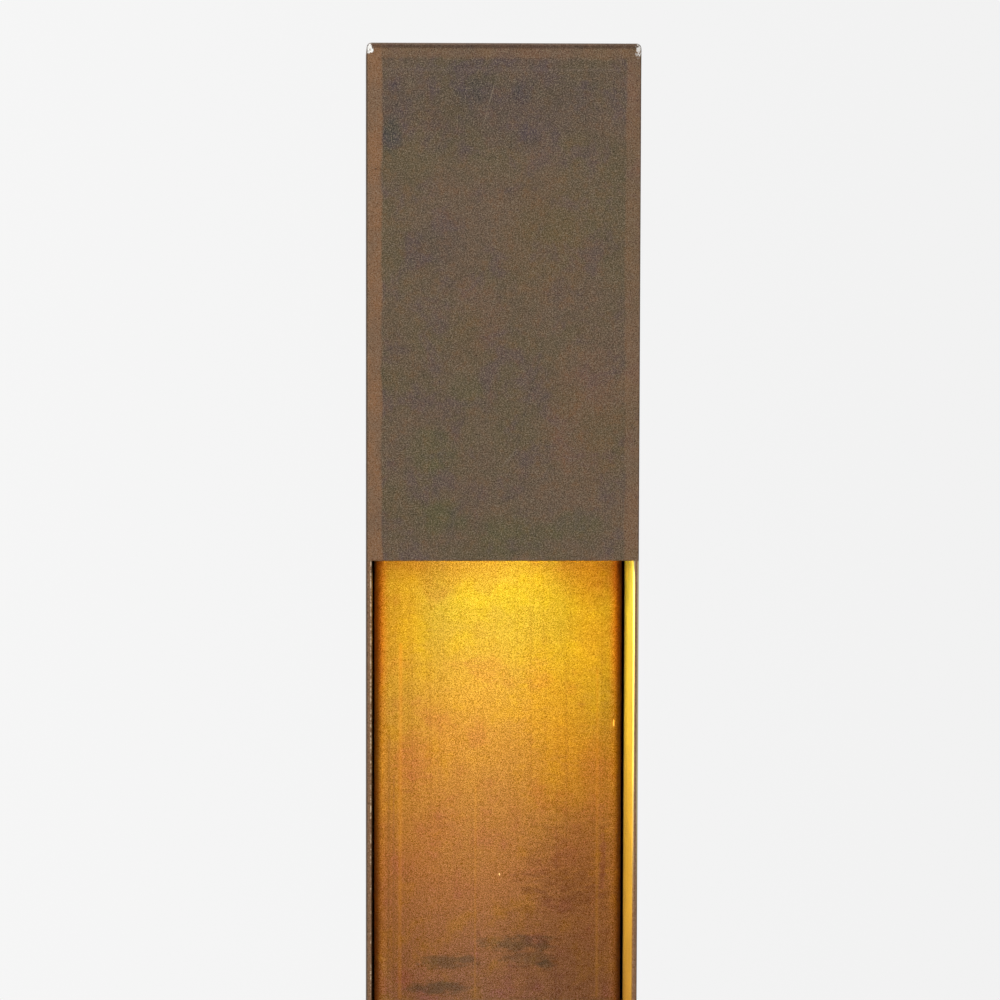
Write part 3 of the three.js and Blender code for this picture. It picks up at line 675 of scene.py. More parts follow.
def panel_brass():
    g = Graph("panel_brass")
    speckle = grain(g, 0.27, 2.0)
    drift = g.wander(50, (30, 30, 60), detail=3.0, offset=2.5)
    colour = g.ramp(g.add(g.z, drift), PANEL_TONES_AND_LIGHT)
    colour = g.tint(colour, g.fade(speckle, 0.50, 0.60), (1.55, 1.66, 3.0))
    colour = g.tint(colour, g.fade(speckle, 0.52, 0.42), (0.48, 0.40, 0.20))
    patches = g.noise(12, detail=4.0, roughness=0.6, offset=14.0)
    colour = g.tint(colour, g.fade(patches, 0.52, 0.70, 0.0, 0.8), PLUM)
    colour = g.tint(colour, g.fade(patches, 0.48, 0.32, 0.0, 0.8), YELLOW)
    streaks = g.noise((1.8, 4, 160), detail=3.0, roughness=0.6, offset=6.0)
    colour = g.tint(colour, g.fade(streaks, 0.5, 0.75, 0.0, 0.5), (0.74, 0.64, 0.70))
    wobble = g.wander(3.0, (5, 5, 2), detail=4.0, roughness=0.7, offset=5.0)
    colour = marked(g, colour, PANEL_BLOTS, PANEL_STROKES, wobble)
    brushed_across = g.noise((13, 4, 0.8), detail=3.0, roughness=0.6, offset=22.0)
    colour = g.tint(colour, g.fade(brushed_across, 0.52, 0.72, 0.0, 0.6), (0.80, 0.74, 0.80))
    side = g.math("ABSOLUTE", g.x)
    # Painted lamp light: the panel's sides near the top are painted brighter and more amber.
    colour = g.tint(colour, g.times(g.fade(side, 22, 36), g.fade(g.z, 552, 584)), (1.32, 1.10, 0.55))
    # Painted lamp light: the right half is toned amber at middle height and painted brighter higher up.
    right = g.fade(g.x, 2, 26)
    colour = g.tint(colour, g.times(right, g.fade(g.z, 498, 530)), (1.02, 0.95, 0.50))
    colour = g.tint(colour, g.times(right, g.fade(g.z, 540, 580)), (1.18, 1.20, 1.0))
    # Painted shade and light on the folds, lighter low down and darker and redder higher up.
    folds = g.fade(side, 41, 46)
    low = g.fade(g.z, 575, 520)
    colour = g.tint(colour, g.times(folds, low), FOLD_LIGHT_BROWN)
    colour = g.tint(colour, g.times(folds, g.rest(low)), FOLD_SHADE_RED)
    # Painted shadow in the outer bends of the folds, where they meet the walls.
    colour = g.tint(colour, g.fade(side, 44.0, 46.6), (0.50, 0.36, 0.40))
    # Painted light from the left: the left side of the panel is painted lighter.
    colour = g.tint(colour, g.fade(g.x, 20, -40, 0.0, 0.8), (1.14, 1.10, 1.16))
    roughness = g.fade(speckle, 0.3, 0.7, 0.46, 0.62)
    gloss = g.fade(speckle, 0.45, 0.57, 0.1, 0.9)
    normal = relief(g, speckle, 0.8)
    sockets = {"Metallic": 0.35, "Roughness": roughness, "Specular IOR Level": gloss}
    return g.done(Base_Color=colour, Normal=normal, **sockets)


# ---------------------------------------------------------------- other materials


def plain(name, colour, roughness, metallic=0.0, grain_size=0.4, depth=0.03, wear=0.85):
    """A finish with a fine grain, faint marks and uneven gloss."""
    g = Graph(name)
    speckle = g.noise(grain_size, detail=2.0, offset=4.0)
    marks = g.noise(9, detail=5.0, roughness=0.65, offset=8.0)
    base = g.tint((*colour, 1), g.fade(marks, 0.4, 0.75), (wear, wear, wear))
    base = g.tint(base, g.fade(speckle, 0.55, 0.3), (wear, wear, wear))
    gloss = g.fade(marks, 0.3, 0.7, roughness * 0.85, roughness * 1.12)
    normal = g.bump(speckle, depth, 0.5)
    return g.done(Base_Color=base, Metallic=metallic, Roughness=gloss, Normal=normal)


def zinc_plate():
    """Galvanised steel: angular crystals of different greys."""
    g = Graph("zinc_plate")
    crystals = g.cells(7, offset=3.0).outputs["Color"]
    value = g.node("ShaderNodeSeparateColor", {"Color": crystals}).outputs["Red"]
    cloud = g.noise(16, detail=4.0, offset=5.0)
    base = g.mix(value, (0.33, 0.35, 0.37, 1), (0.47, 0.49, 0.51, 1))
    base = g.tint(base, g.fade(cloud, 0.45, 0.7, 0.0, 0.6), (0.8, 0.8, 0.8))
    gloss = g.fade(value, 0.0, 1.0, 0.34, 0.52)
    normal = g.bump(g.noise(0.8, detail=3.0), 0.03, 0.4)
    return g.done(Base_Color=base, Metallic=0.9, Roughness=gloss, Normal=normal)


def brushed(name, colour, roughness, along):
    """Metal with fine lines along one axis."""
    g = Graph(name)
    lines = g.noise(along, detail=3.0, roughness=0.6)
    stains = g.noise(12, detail=4.0, offset=6.0)
    base = g.tint((*colour, 1), g.fade(lines, 0.55, 0.3), (0.84, 0.84, 0.84))
    base = g.tint(base, g.fade(stains, 0.5, 0.75, 0.0, 0.5), (0.86, 0.85, 0.83))
    gloss = g.fade(lines, 0.3, 0.7, roughness * 0.8, roughness * 1.25)
    normal = g.bump(lines, 0.02, 0.4)
    return g.done(Base_Color=base, Metallic=1.0, Roughness=gloss, Normal=normal)


def earth_sheath():
    """Green insulation with a yellow stripe."""
    g = Graph("earth_sheath")
    stripe = g.math("SINE", g.add(g.times(g.x, 2.6), g.times(g.z, 0.25)))
    base = g.mix(g.fade(stripe, 0.0, 0.25), (0.055, 0.24, 0.05, 1), (0.75, 0.56, 0.03, 1))
    base = g.tint(base, g.fade(g.noise(3, detail=4.0), 0.5, 0.8), (0.8, 0.8, 0.8))
    return g.done(Base_Color=base, Roughness=0.45, Normal=g.bump(g.noise(0.5), 0.02, 0.3))


def lamp_phosphor(strength):
    g = Graph("phosphor")
    dots = g.cells(1.1, offset=1.0).outputs["Distance"]
    base = g.mix(g.fade(dots, 0.2, 0.6), (0.85, 0.55, 0.10, 1), (0.75, 0.42, 0.06, 1))
    glow = g.mix(g.fade(dots, 0.1, 0.6), (1.0, 0.80, 0.42, 1), (1.0, 0.66, 0.25, 1))
    return g.done(Base_Color=base, Roughness=0.5, Emission_Color=glow, Emission_Strength=strength)


def lens_glass(strength):
    """Frosted glass, lit from behind."""
    g = Graph("clear_glass")
    across = g.math("SUBTRACT", g.y, LENS_Y)
    off = g.math("SQRT", g.add(g.times(g.x, g.x), g.times(across, across)))
    frost = g.noise(0.7, detail=2.0)
    glow = g.mix(g.fade(off, 4.0, LENS_R), (1.0, 0.86, 0.55, 1), (1.0, 0.62, 0.22, 1))
    glow = g.tint(glow, g.fade(frost, 0.6, 0.35), (0.86, 0.84, 0.80))
    return g.done(
        Base_Color=(0.85, 0.88, 0.86, 1),
        Roughness=g.fade(frost, 0.3, 0.7, 0.16, 0.30),
        Transmission_Weight=0.75,
        IOR=1.5,
        Emission_Color=glow,
        Emission_Strength=strength,
        Normal=g.bump(frost, 0.05, 0.5),
    )


PATINA = patina_brass()
PANEL = panel_brass()
STEEL = brushed("stainless_steel", (0.58, 0.57, 0.55), 0.28, (0.25, 2.5, 0.25))
ZINC = zinc_plate()
ALUMINIUM = brushed("bare_aluminium", (0.66, 0.67, 0.68), 0.36, (0.3, 0.3, 12))
BLACKENED = plain("blackened_steel", (0.028, 0.024, 0.021), 0.5, metallic=0.6, wear=0.7)
RUBBER = plain("black_rubber", (0.022, 0.022, 0.022), 0.75, grain_size=0.8, depth=0.06)
POLYAMIDE = plain("black_polyamide", (0.030, 0.031, 0.032), 0.42, grain_size=0.5)
HOUSING = plain("grey_housing", (0.075, 0.080, 0.085), 0.5, grain_size=0.5, depth=0.05)
LEAD = plain("lead_sheath", (0.024, 0.024, 0.025), 0.42, grain_size=0.6)
EARTH = earth_sheath()
BOARD = plain("white_board", (0.78, 0.78, 0.74), 0.45, wear=0.93)
PHOSPHOR = lamp_phosphor(6.0)
POLISH = {"metallic": 1.0, "grain_size": 1.2, "depth": 0.02, "wear": 0.95}
MIRROR = plain("bright_reflector", (0.88, 0.88, 0.86), 0.12, **POLISH)
GLASS = lens_glass(4.0)


# ---------------------------------------------------------------- fasteners

RIM = 0.25
M4 = {"shaft": 2.0, "head": 3.9, "sink": 2.1, "socket": 1.45, "deep": 1.3, "pitch": 0.7}
M3 = {"shaft": 1.5, "head": 2.9, "sink": 1.6, "socket": 1.15, "deep": 1.0, "pitch": 0.5}

WAYS = {
    "back": Matrix.Identity(4),
    "down": Matrix.Rotation(-math.pi / 2, 4, "X"),
    "up": Matrix.Rotation(math.pi / 2, 4, "X"),
    "right": Matrix.Rotation(-math.pi / 2, 4, "Z"),
    "left": Matrix.Rotation(math.pi / 2, 4, "Z"),
}
HEADS = {"back": ("y", 0), "down": ("z", 1), "up": ("z", 0), "right": ("x", 0), "left": ("x", 1)}


def aimed(mesh, way, place):
    bmesh.ops.transform(mesh, matrix=Matrix.Translation(place) @ WAYS[way], verts=mesh.verts)
    return mesh


def head_place(node, way):
    """The centre of a screw's head face."""
    corners = span(node)
    place = (corners[0] + corners[1]) / 2
    axis, end = HEADS[way]
    setattr(place, axis, getattr(corners[end], axis))
    return place


def sink_hole(size, depth):
    """The hole for a countersunk screw, to be cut from what it passes through."""
    profile = [
        (0, -1),
        (size["head"] + GAP, -1),
        (size["head"] + GAP, RIM),
        (size["shaft"] + GAP, size["sink"] + GAP),
        (size["shaft"] + GAP, depth),
        (0, depth),
    ]
    return turned(profile, axis="Y", sides=48)


def thread(size, start, end):
    """Profile points of a screw thread, drawn as rings."""
    crest, root = size["shaft"], size["shaft"] - 0.55 * size["pitch"]
    turns = int((end - start) / size["pitch"])
    points = []
    for i in range(turns):
        place = start + i * size["pitch"]
        points += [(root, place + 0.1 * size["pitch"]), (crest, place + 0.5 * size["pitch"])]
    return points


def screw(size, length):
    """A countersunk socket screw with its head at the origin and its shaft along +Y."""
    profile = [
        (0, 0),
        (size["head"] - 0.15, 0),
        (size["head"], 0.12),
        (size["head"], RIM),
        (size["shaft"], size["sink"]),
        *thread(size, size["sink"] + 0.3, length - 0.4),
        (size["shaft"] - 0.5, length),
        (0, length),
    ]
    socket = rod(size["socket"], -1, size["deep"], axis="Y", sides=6)
    return cut(turned(profile, axis="Y", sides=48), [socket])


def add_screws(way, size, nodes, body="column"):
    for node in nodes:
        low, high = span(node)
        place = head_place(node, way)
        mesh = aimed(screw(size, max(high - low)), way, place)
        fine(node, mesh, STEEL, body, width=0.06, segments=2)


def numbered(name, count):
    return [f"{name}_{i + 1}" for i in range(count)]


def holes(way, size, nodes, depth=14):
    return [aimed(sink_hole(size, depth), way, head_place(node, way)) for node in nodes]


COVER_SCREWS = numbered("cover_screw", 4)
PANEL_SCREWS = numbered("panel_screw", 2)
SILL_SCREWS = numbered("sill_screw", 2)
CARRIER_SCREWS = numbered("carrier_screw", 4)
BEZEL_SCREWS = numbered("bezel_screw", 2)
DRIVER_SCREWS = numbered("driver_screw", 2)


def all_screws():
    add_screws("back", M4, PANEL_SCREWS)
    add_screws("back", M4, COVER_SCREWS, "access_cover")
    add_screws("back", M4, DRIVER_SCREWS)
    add_screws("down", M4, SILL_SCREWS)
    add_screws("up", M4, CARRIER_SCREWS)
    add_screws("up", M3, BEZEL_SCREWS)
    add_screws("right", M4, ["shell_screw_1"])
    add_screws("left", M4, ["shell_screw_2"])


# ---------------------------------------------------------------- column shell


def skin(xs, ys, zs, filled):
    """The outside of the filled cells of a grid."""
    mesh = bmesh.new()
    corners = {}

    def corner(key):
        if key not in corners:
            i, j, k = key
            corners[key] = mesh.verts.new((xs[i], ys[j], zs[k]))
        return corners[key]

    steps = [range(len(places) - 1) for places in (xs, ys, zs)]
    cells = [cell for cell in itertools.product(*steps) if filled(*cell)]
    inside = set(cells)
    for cell in cells:
        for axis in range(3):
            for side in (0, 1):
                beyond = list(cell)
                beyond[axis] += 2 * side - 1
                if tuple(beyond) in inside:
                    continue
                a, b = [other for other in range(3) if other != axis]
                ring = []
                for step_a, step_b in ((0, 0), (1, 0), (1, 1), (0, 1)):
                    key = list(cell)
                    key[axis] += side
                    key[a] += step_a
                    key[b] += step_b
                    ring.append(corner(tuple(key)))
                mesh.faces.new(ring)
    bmesh.ops.recalc_face_normals(mesh, faces=mesh.faces)
    return mesh


def near(value, target):
    return abs(value - target) < 0.01


def shell_radius(a, b):
    """How far the shell's edge between two points is rounded."""
    if near(a.z, TOP) and near(b.z, TOP):
        return EDGE_R
    if near(abs(a.x), HALF) and near(abs(a.y), HALF) and near(a.x, b.x) and near(a.y, b.y):
        return FRONT_EDGE_R if a.y < 0 else EDGE_R
    if near(a.y, -HALF) and near(b.y, -HALF):
        if near(abs(a.x), INSIDE) and near(a.x, b.x):
            return RECESS_EDGE_R[math.copysign(1, a.x)]
        if near(a.z, LIP) and near(b.z, LIP):
            return LIP_R
    return 0.2


def column_shell():
    """The column, its head plate and its cap, welded and ground to one skin."""
    across = [-HALF, -INSIDE, INSIDE, HALF]
    up = [FOOT, LIP, TOP - SHEET, TOP]

    def filled(i, j, k):
        if k == 2 or j == 2 or i in (0, 2):
            return True
        return j == 0 and k == 1

    mesh = skin(across, across, up, filled)
    bmesh.ops.dissolve_limit(mesh, angle_limit=math.radians(1), verts=mesh.verts, edges=mesh.edges)
    drills = holes("right", M4, ["shell_screw_1"]) + holes("left", M4, ["shell_screw_2"])
    mesh = cut(mesh, drills)
    weights = mesh.edges.layers.float.new("bevel_weight_edge")
    for edge in mesh.edges:
        a, b = (vertex.co for vertex in edge.verts)
        if edge.calc_face_angle(0) > math.radians(30):
            edge[weights] = shell_radius(a, b) / EDGE_R
    nodes = ["column_channel", "head_front_plate", "top_cap"]
    shell = shown("column_shell", mesh, nodes, PATINA)
    rounded(shell, EDGE_R, 6, "WEIGHT").use_clamp_overlap = False


# ---------------------------------------------------------------- recess


def folded_panel(node, screws, body):
    low, high = span(node)
    inner = high.x - SHEET
    corners = [
        (-high.x, high.y),
        (-high.x, low.y, FOLD_R),
        (high.x, low.y, FOLD_R),
        (high.x, high.y),
        (inner, high.y),
        (inner, low.y + SHEET, FOLD_R - SHEET),
        (-inner, low.y + SHEET, FOLD_R - SHEET),
        (-inner, high.y),
    ]
    blank = prism(corners, low.z, high.z)
    fine(node, cut(blank, holes("back", M4, screws)), PANEL, body, width=0.3)


def base_sill():
    low, high = span("base_sill")
    corners = [
        (low.y, low.z),
        (low.y + SHEET, low.z),
        (low.y + SHEET, high.z - SHEET),
        (high.y, high.z - SHEET),
        (high.y, high.z),
        (low.y, high.z, EDGE_R),
    ]
    blank = prism(corners, low.x, high.x, "X")
    fine("base_sill", cut(blank, holes("down", M4, SILL_SCREWS)), PATINA, width=0.3)


def recess():
    folded_panel("recess_panel", PANEL_SCREWS, "column")
    folded_panel("access_cover", COVER_SCREWS, "access_cover")
    base_sill()
    for node in ("cover_bracket_low", "cover_bracket_high", "panel_bracket"):
        refined(node, ZINC, width=0.5)
    for node in ("sill_post_left", "sill_post_right"):
        refined(node, ZINC, width=0.3)


# ---------------------------------------------------------------- base

ANCHOR_SPACING = 70
ANCHOR_R = 4.5
CABLE_ENTRY_Y = 12
CABLE_ENTRY_R = 13


def drilled_square(node, corner, clearance):
    """A square sheet with the anchor holes and the cable entry."""
    low, high = span(node)
    reach = (low.z - 1, high.z + 1)
    half = ANCHOR_SPACING / 2
    drills = [rod(ANCHOR_R + clearance, *reach, (x, y)) for x in (-half, half) for y in (-half, half)]
    drills.append(rod(CABLE_ENTRY_R + clearance, *reach, (0, CABLE_ENTRY_Y)))
    return cut(prism(rectangle(low.x, high.x, low.y, high.y, corner), low.z, high.z), drills)


def base():
    fine("foot_gasket", drilled_square("foot_gasket", EDGE_R, 1), RUBBER, width=0.4)
    fine("base_plate", drilled_square("base_plate", 1, 0), ZINC, width=0.5)
    for side in ("left", "right"):
        refined(f"base_lug_{side}", ZINC, width=0.4)


# ---------------------------------------------------------------- gear

TRAY_SHEET = 1.5
BOX_WALL = 2.5
BOX_CORNER = 3
GLAND_BORE = 4.5
GLAND_THREAD = 7.6
MAINS_X, MAINS_Y = 12, 30
LEAD_R = 3
EARTH_X = -24
EARTH_R = 1.2
EARTH_TAG_R = 5
EARTH_THREAD = {"shaft": 2.5, "pitch": 0.8}
GLAND_Y = 28


def block(low, high):
    return prism(rectangle(low[0], high[0], low[1], high[1]), low[2], high[2])


def gear_tray():
    low, high = span("gear_tray")
    face = high.y - TRAY_SHEET
    foot = block((-22, low.y, low.z), (22, high.y, low.z + TRAY_SHEET))
    leg = block((-22, face, low.z + TRAY_SHEET / 2), (22, high.y, 60))
    plate = prism(rectangle(low.x, high.x, 50, high.z, 4), face, high.y, "Y")
    bent = combined(combined(foot, [leg], "UNION"), [plate], "UNION")
    fine("gear_tray", cut(bent, holes("back", M4, DRIVER_SCREWS)), ZINC, width=0.3)


def junction_box():
    low, high = span("junction_box")
    outer = prism(rectangle(low.x, high.x, low.z, high.z, BOX_CORNER), low.y, high.y, "Y")
    inner = rectangle(low.x + BOX_WALL, high.x - BOX_WALL, low.z + BOX_WALL, high.z - BOX_WALL, 1)
    hollow = prism(inner, low.y - 1, high.y - BOX_WALL, "Y")
    drills = [
        rod(GLAND_THREAD + GAP, low.z - 1, low.z + BOX_WALL + 1, (0, GLAND_Y)),
        rod(EARTH_R + 2 * GAP, low.z - 1, low.z + BOX_WALL + 1, (EARTH_X, GLAND_Y), sides=24),
        rod(LEAD_R + GAP, high.z - BOX_WALL - 1, high.z + 1, (MAINS_X, MAINS_Y), sides=32),
    ]
    fine("junction_box", cut(cut(outer, [hollow]), drills), HOUSING, width=0.4)


def box_lid():
    """The lid, with a sunk field and four quarter-turn latches."""
    low, high = span("junction_box_lid")
    blank = prism(rectangle(low.x, high.x, low.z, high.z, BOX_CORNER), low.y, high.y, "Y")
    field = rectangle(low.x + 14, high.x - 14, low.z + 8, high.z - 8, 3)
    tools = [prism(field, low.y - 1, low.y + 0.8, "Y")]
    places = [(x, z) for x in (low.x + 9, high.x - 9) for z in (low.z + 8, high.z - 8)]
    for x, z in places:
        well = [(3, low.y - 1), (3, low.y + 1.5), (2.4, low.y + 1.5), (2.4, low.y - 1), (3, low.y - 1)]
        tools.append(turned(well, (x, z), "Y", 48))
        tools.append(block((x - 1.8, low.y - 1, z - 0.4), (x + 1.8, low.y + 1.0, z + 0.4)))
    fine("junction_box_lid", cut(blank, tools), HOUSING, width=0.3)


def terminals():
    """A strip of four clamps: a screw in each well and a wire entry below it."""
    low, high = span("terminal_block")
    middle = (low.z + high.z) / 2
    pitch = (high.x - low.x) / 4
    centres = [low.x + pitch * (i + 0.5) for i in range(4)]
    wells = [rod(2.2, low.y - 1, low.y + 6, (x, middle), "Y", 32) for x in centres]
    entries = [block((x - 2, low.y + 5, low.z - 1), (x + 2, low.y + 9, low.z + 4)) for x in centres]
    seams = [low.x + pitch * i for i in (1, 2, 3)]
    grooves = [block((x - 0.4, low.y - 1, low.z - 1), (x + 0.4, low.y + 2, high.z + 1)) for x in seams]
    strip = cut(block(low, high), wells + entries + grooves)
    fine("terminal_block", strip, BOARD, width=0.25)


def hexagon(radius, low, high, centre):
    return rod(radius, low, high, centre, sides=6)


def gland():
    low, high = span("supply_gland")
    centre = (0, GLAND_Y)
    collar_top = span("junction_box")[0].z - GAP
    profile = [(0, low.z), *thread({"shaft": GLAND_THREAD, "pitch": 1.5}, low.z, high.z), (0, high.z)]
    body = combined(turned(profile, centre), [hexagon(high.x, collar_top - 7, collar_top, centre)], "UNION")
    bored = cut(body, [rod(GLAND_BORE, low.z - 1, high.z + 1, centre)])
    fine("supply_gland", bored, POLYAMIDE, width=0.2)

    low, high = span("gland_nut")
    shoulder = high.z - 8
    dome = [(0, low.z), (GLAND_THREAD - 0.6, low.z), (GLAND_THREAD + 1.2, low.z + 1.2)]
    dome += [(high.x - 1.2, shoulder - 1.2), (high.x, shoulder), (high.x, high.z), (0, high.z)]
    nut = combined(turned(dome, centre), [hexagon(high.x, shoulder - 3, high.z, centre)], "INTERSECT")
    nose_top = shoulder - 2.9
    nose = [(0, low.z), (GLAND_THREAD - 0.6, low.z), (GLAND_THREAD, nose_top), (0, nose_top)]
    nut = combined(nut, [turned(nose, centre)], "UNION")
    nut = cut(nut, [rod(GLAND_BORE, low.z - 1, high.z, centre)])
    nut = cut(nut, [rod(GLAND_THREAD + GAP, shoulder, high.z + 1, centre)])
    fine("gland_nut", nut, POLYAMIDE, width=0.2)


def driver():
    """An extruded housing with grooves along its front, and an ear at each end."""
    low, high = span("led_driver")
    ear = 12
    housing = prism(rectangle(low.x, high.x, low.y, high.y, 3), low.z + ear, high.z - ear)
    ears = prism(rectangle(-8, 8, low.z, high.z, 3), high.y - 3, high.y, "Y")
    body = combined(housing, [ears], "UNION")
    grooves = []
    for x in range(-15, 16, 3):
        grooves.append(block((x - 0.5, low.y - 1, low.z), (x + 0.5, low.y + 0.7, high.z)))
    seams = []
    for z in (low.z + ear + 5, high.z - ear - 5):
        skin_cut = cut(
            block((low.x - 1, low.y - 1, z - 0.2), (high.x + 1, high.y - 4, z + 0.2)),
            [block((low.x + 0.4, low.y + 0.9, z - 1), (high.x - 0.4, high.y, z + 1))],
        )
        seams.append(skin_cut)
    body = cut(cut(body, grooves), seams)
    body = cut(body, holes("back", M4, DRIVER_SCREWS))
    fine("led_driver", body, ALUMINIUM, width=0.25)


def smooth_route(points, steps=8):
    """A curve through the points, as many short straight runs."""
    points = [Vector(point) for point in points]
    points = [2 * points[0] - points[1], *points, 2 * points[-1] - points[-2]]
    route = []
    for before, start, end, after in zip(points, points[1:], points[2:], points[3:]):
        for step in range(steps):
            t = step / steps
            bend = (2 * before - 5 * start + 4 * end - after) * t * t
            twist = (3 * start - before - 3 * end + after) * t * t * t
            route.append(start + ((end - before) * t + bend + twist) / 2)
    return [*route, points[-2]]


def tube(points, radius, sides=24):
    """A round lead along a route."""
    mesh = bmesh.new()
    turns = [2 * math.pi * k / sides for k in range(sides)]
    rings = []
    across = None
    for i, point in enumerate(points):
        along = (points[min(i + 1, len(points) - 1)] - points[max(i - 1, 0)]).normalized()
        across = along.orthogonal() if across is None else across - along * across.dot(along)
        across.normalize()
        up = along.cross(across)
        spokes = [math.cos(turn) * across + math.sin(turn) * up for turn in turns]
        rings.append([mesh.verts.new(point + radius * spoke) for spoke in spokes])
    for last, ring in zip(rings, rings[1:]):
        for k in range(sides):
            mesh.faces.new((last[k - 1], last[k], ring[k], ring[k - 1]))
    for ring in (rings[0], rings[-1]):
        mesh.faces.new(ring)
    bmesh.ops.recalc_face_normals(mesh, faces=mesh.faces)
    return mesh


def earth_bond():
    """The bonding stud on the base plate, its two nuts, and the earth lead with its ring tag."""
    low, high = span("earth_screw")
    centre = ((low.x + high.x) / 2, (low.y + high.y) / 2)
    across = (high.x - low.x) / 2
    tag_low = span("earth_lead")[0].z
    tag_high = tag_low + 2.5
    profile = [(0, low.z), *thread(EARTH_THREAD, low.z, high.z), (0, high.z)]
    stud = turned(profile, centre, sides=48)
    lower = hexagon(across, low.z, tag_low - GAP, centre)
    upper = hexagon(across, tag_high + GAP, high.z - 0.6, centre)
    bolt = combined(combined(stud, [lower], "UNION"), [upper], "UNION")
    fine("earth_screw", bolt, STEEL, width=0.15)
    x, y = centre
    eye = rod(EARTH_THREAD["shaft"] + GAP, 0, high.z, centre)
    tag = cut(rod(EARTH_TAG_R, tag_low, tag_high, centre), [eye])
    route = [(x, y + 4.2, tag_low + 1.2), (x, y + 10, tag_low + 2), (x, y + 19, 22), (x, GLAND_Y, 40)]
    route.append((x, GLAND_Y, span("junction_box")[0].z + 6))
    lead = tube(smooth_route(route), EARTH_R, 20)
    fine("earth_lead", combined(tag, [lead], "UNION"), EARTH, width=0.1, angle=50)


def gear():
    gear_tray()
    junction_box()
    box_lid()
    terminals()
    gland()
    driver()
    low, high = span("mains_lead")
    mains = rod(LEAD_R, low.z, high.z, (MAINS_X, MAINS_Y), sides=32)
    fine("mains_lead", mains, LEAD, width=0.3)
    earth_bond()


# ---------------------------------------------------------------- lamp

WINDOW_R = 14.5
LENS_SEAT_R = LENS_R + 0.4
LENS_LEDGE = 1.3
LEAD_HOLE_Y = 40
LEAD_HOLE_R = 5.5
BOARD_LEAD_R = 2
PLUG_Y = 10
AXIS = (0, LENS_Y)


def ring(inner, outer, low, high):
    """A ring about the lamp's axis."""
    return turned([(inner, low), (outer, low), (outer, high), (inner, high), (inner, low)], AXIS, sides=96)


def lamp_carrier():
    low, high = CARRIER_LOW, CARRIER_HIGH
    plate = prism(rectangle(low.x, high.x, low.y, high.y, 1), low.z, high.z)
    drills = [rod(LENS_SEAT_R, low.z - 1, high.z + 1, AXIS, sides=96)]
    drills.append(rod(LEAD_HOLE_R, low.z - 1, high.z + 1, (0, LEAD_HOLE_Y), sides=48))
    drills += holes("up", M4, CARRIER_SCREWS) + holes("up", M3, BEZEL_SCREWS)
    fine("lamp_carrier", cut(plate, drills), BLACKENED, width=0.3)


def lens_bezel():
    low, high = BEZEL_LOW, BEZEL_HIGH
    frame_blank = prism(rectangle(low.x, high.x, low.y, high.y, 4), low.z, high.z)
    drills = [
        rod(WINDOW_R, low.z - 1, high.z + 1, AXIS, sides=96),
        *holes("up", M3, BEZEL_SCREWS),
    ]
    seat = rod(LENS_SEAT_R, low.z + LENS_LEDGE, high.z + 1, AXIS, sides=96)
    made = cut(cut(frame_blank, drills), [seat])
    fine("lens_bezel", made, PANEL, width=0.35)


def light_engine():
    """The lens, its seal, the housing with the reflector, and the emitter on its board."""
    low, high = span("lens_seal")
    fine("lens_seal", ring(WINDOW_R + GAP, LENS_R, low.z, high.z), RUBBER, width=0.2)
    glass = rod(LENS_R, LENS_LOW.z, LENS_HIGH.z, AXIS, sides=96)
    fine("lens_glass", glass, GLASS, width=0.4)
    low, high = span("optic_housing")
    lead_z = span("board_lead")[0].z + BOARD_LEAD_R
    lead_hole = rod(BOARD_LEAD_R + GAP, LENS_Y, high.y + 1, (0, lead_z), "Y", 32)
    housing = cut(ring(LENS_SEAT_R + GAP, high.x, low.z, high.z), [lead_hole])
    fine("optic_housing", housing, ALUMINIUM, width=0.3)
    low, high = span("reflector")
    mouth, throat = LENS_R, 7.3
    inner = []
    for i in range(13):
        share = i / 12
        radius = throat + (mouth - 0.8 - throat) * share
        inner.append((radius, high.z - (high.z - low.z) * share))
    outer = [(r + 0.8, z) for r, z in reversed(inner)]
    cone = turned([*inner, *outer, inner[0]], AXIS, sides=96)
    fine("reflector", cone, MIRROR, width=0.1)
    low, high = span("led_emitter")
    dome = [(0, low.z), (high.x - 1.4, low.z), (high.x - 1.2, low.z + 0.5), (high.x, low.z + 0.6)]
    emitter = turned([*dome, (high.x, high.z), (0, high.z)], AXIS, sides=64)
    fine("led_emitter", emitter, PHOSPHOR, width=0.1)
    low, high = span("led_board")
    disc = rod(high.x, low.z, high.z, AXIS, sides=96)
    notches = [rod(1.2, low.z - 1, high.z + 1, (x, LENS_Y), sides=24) for x in (low.x, high.x)]
    fine("led_board", cut(disc, notches), BOARD, width=0.15)


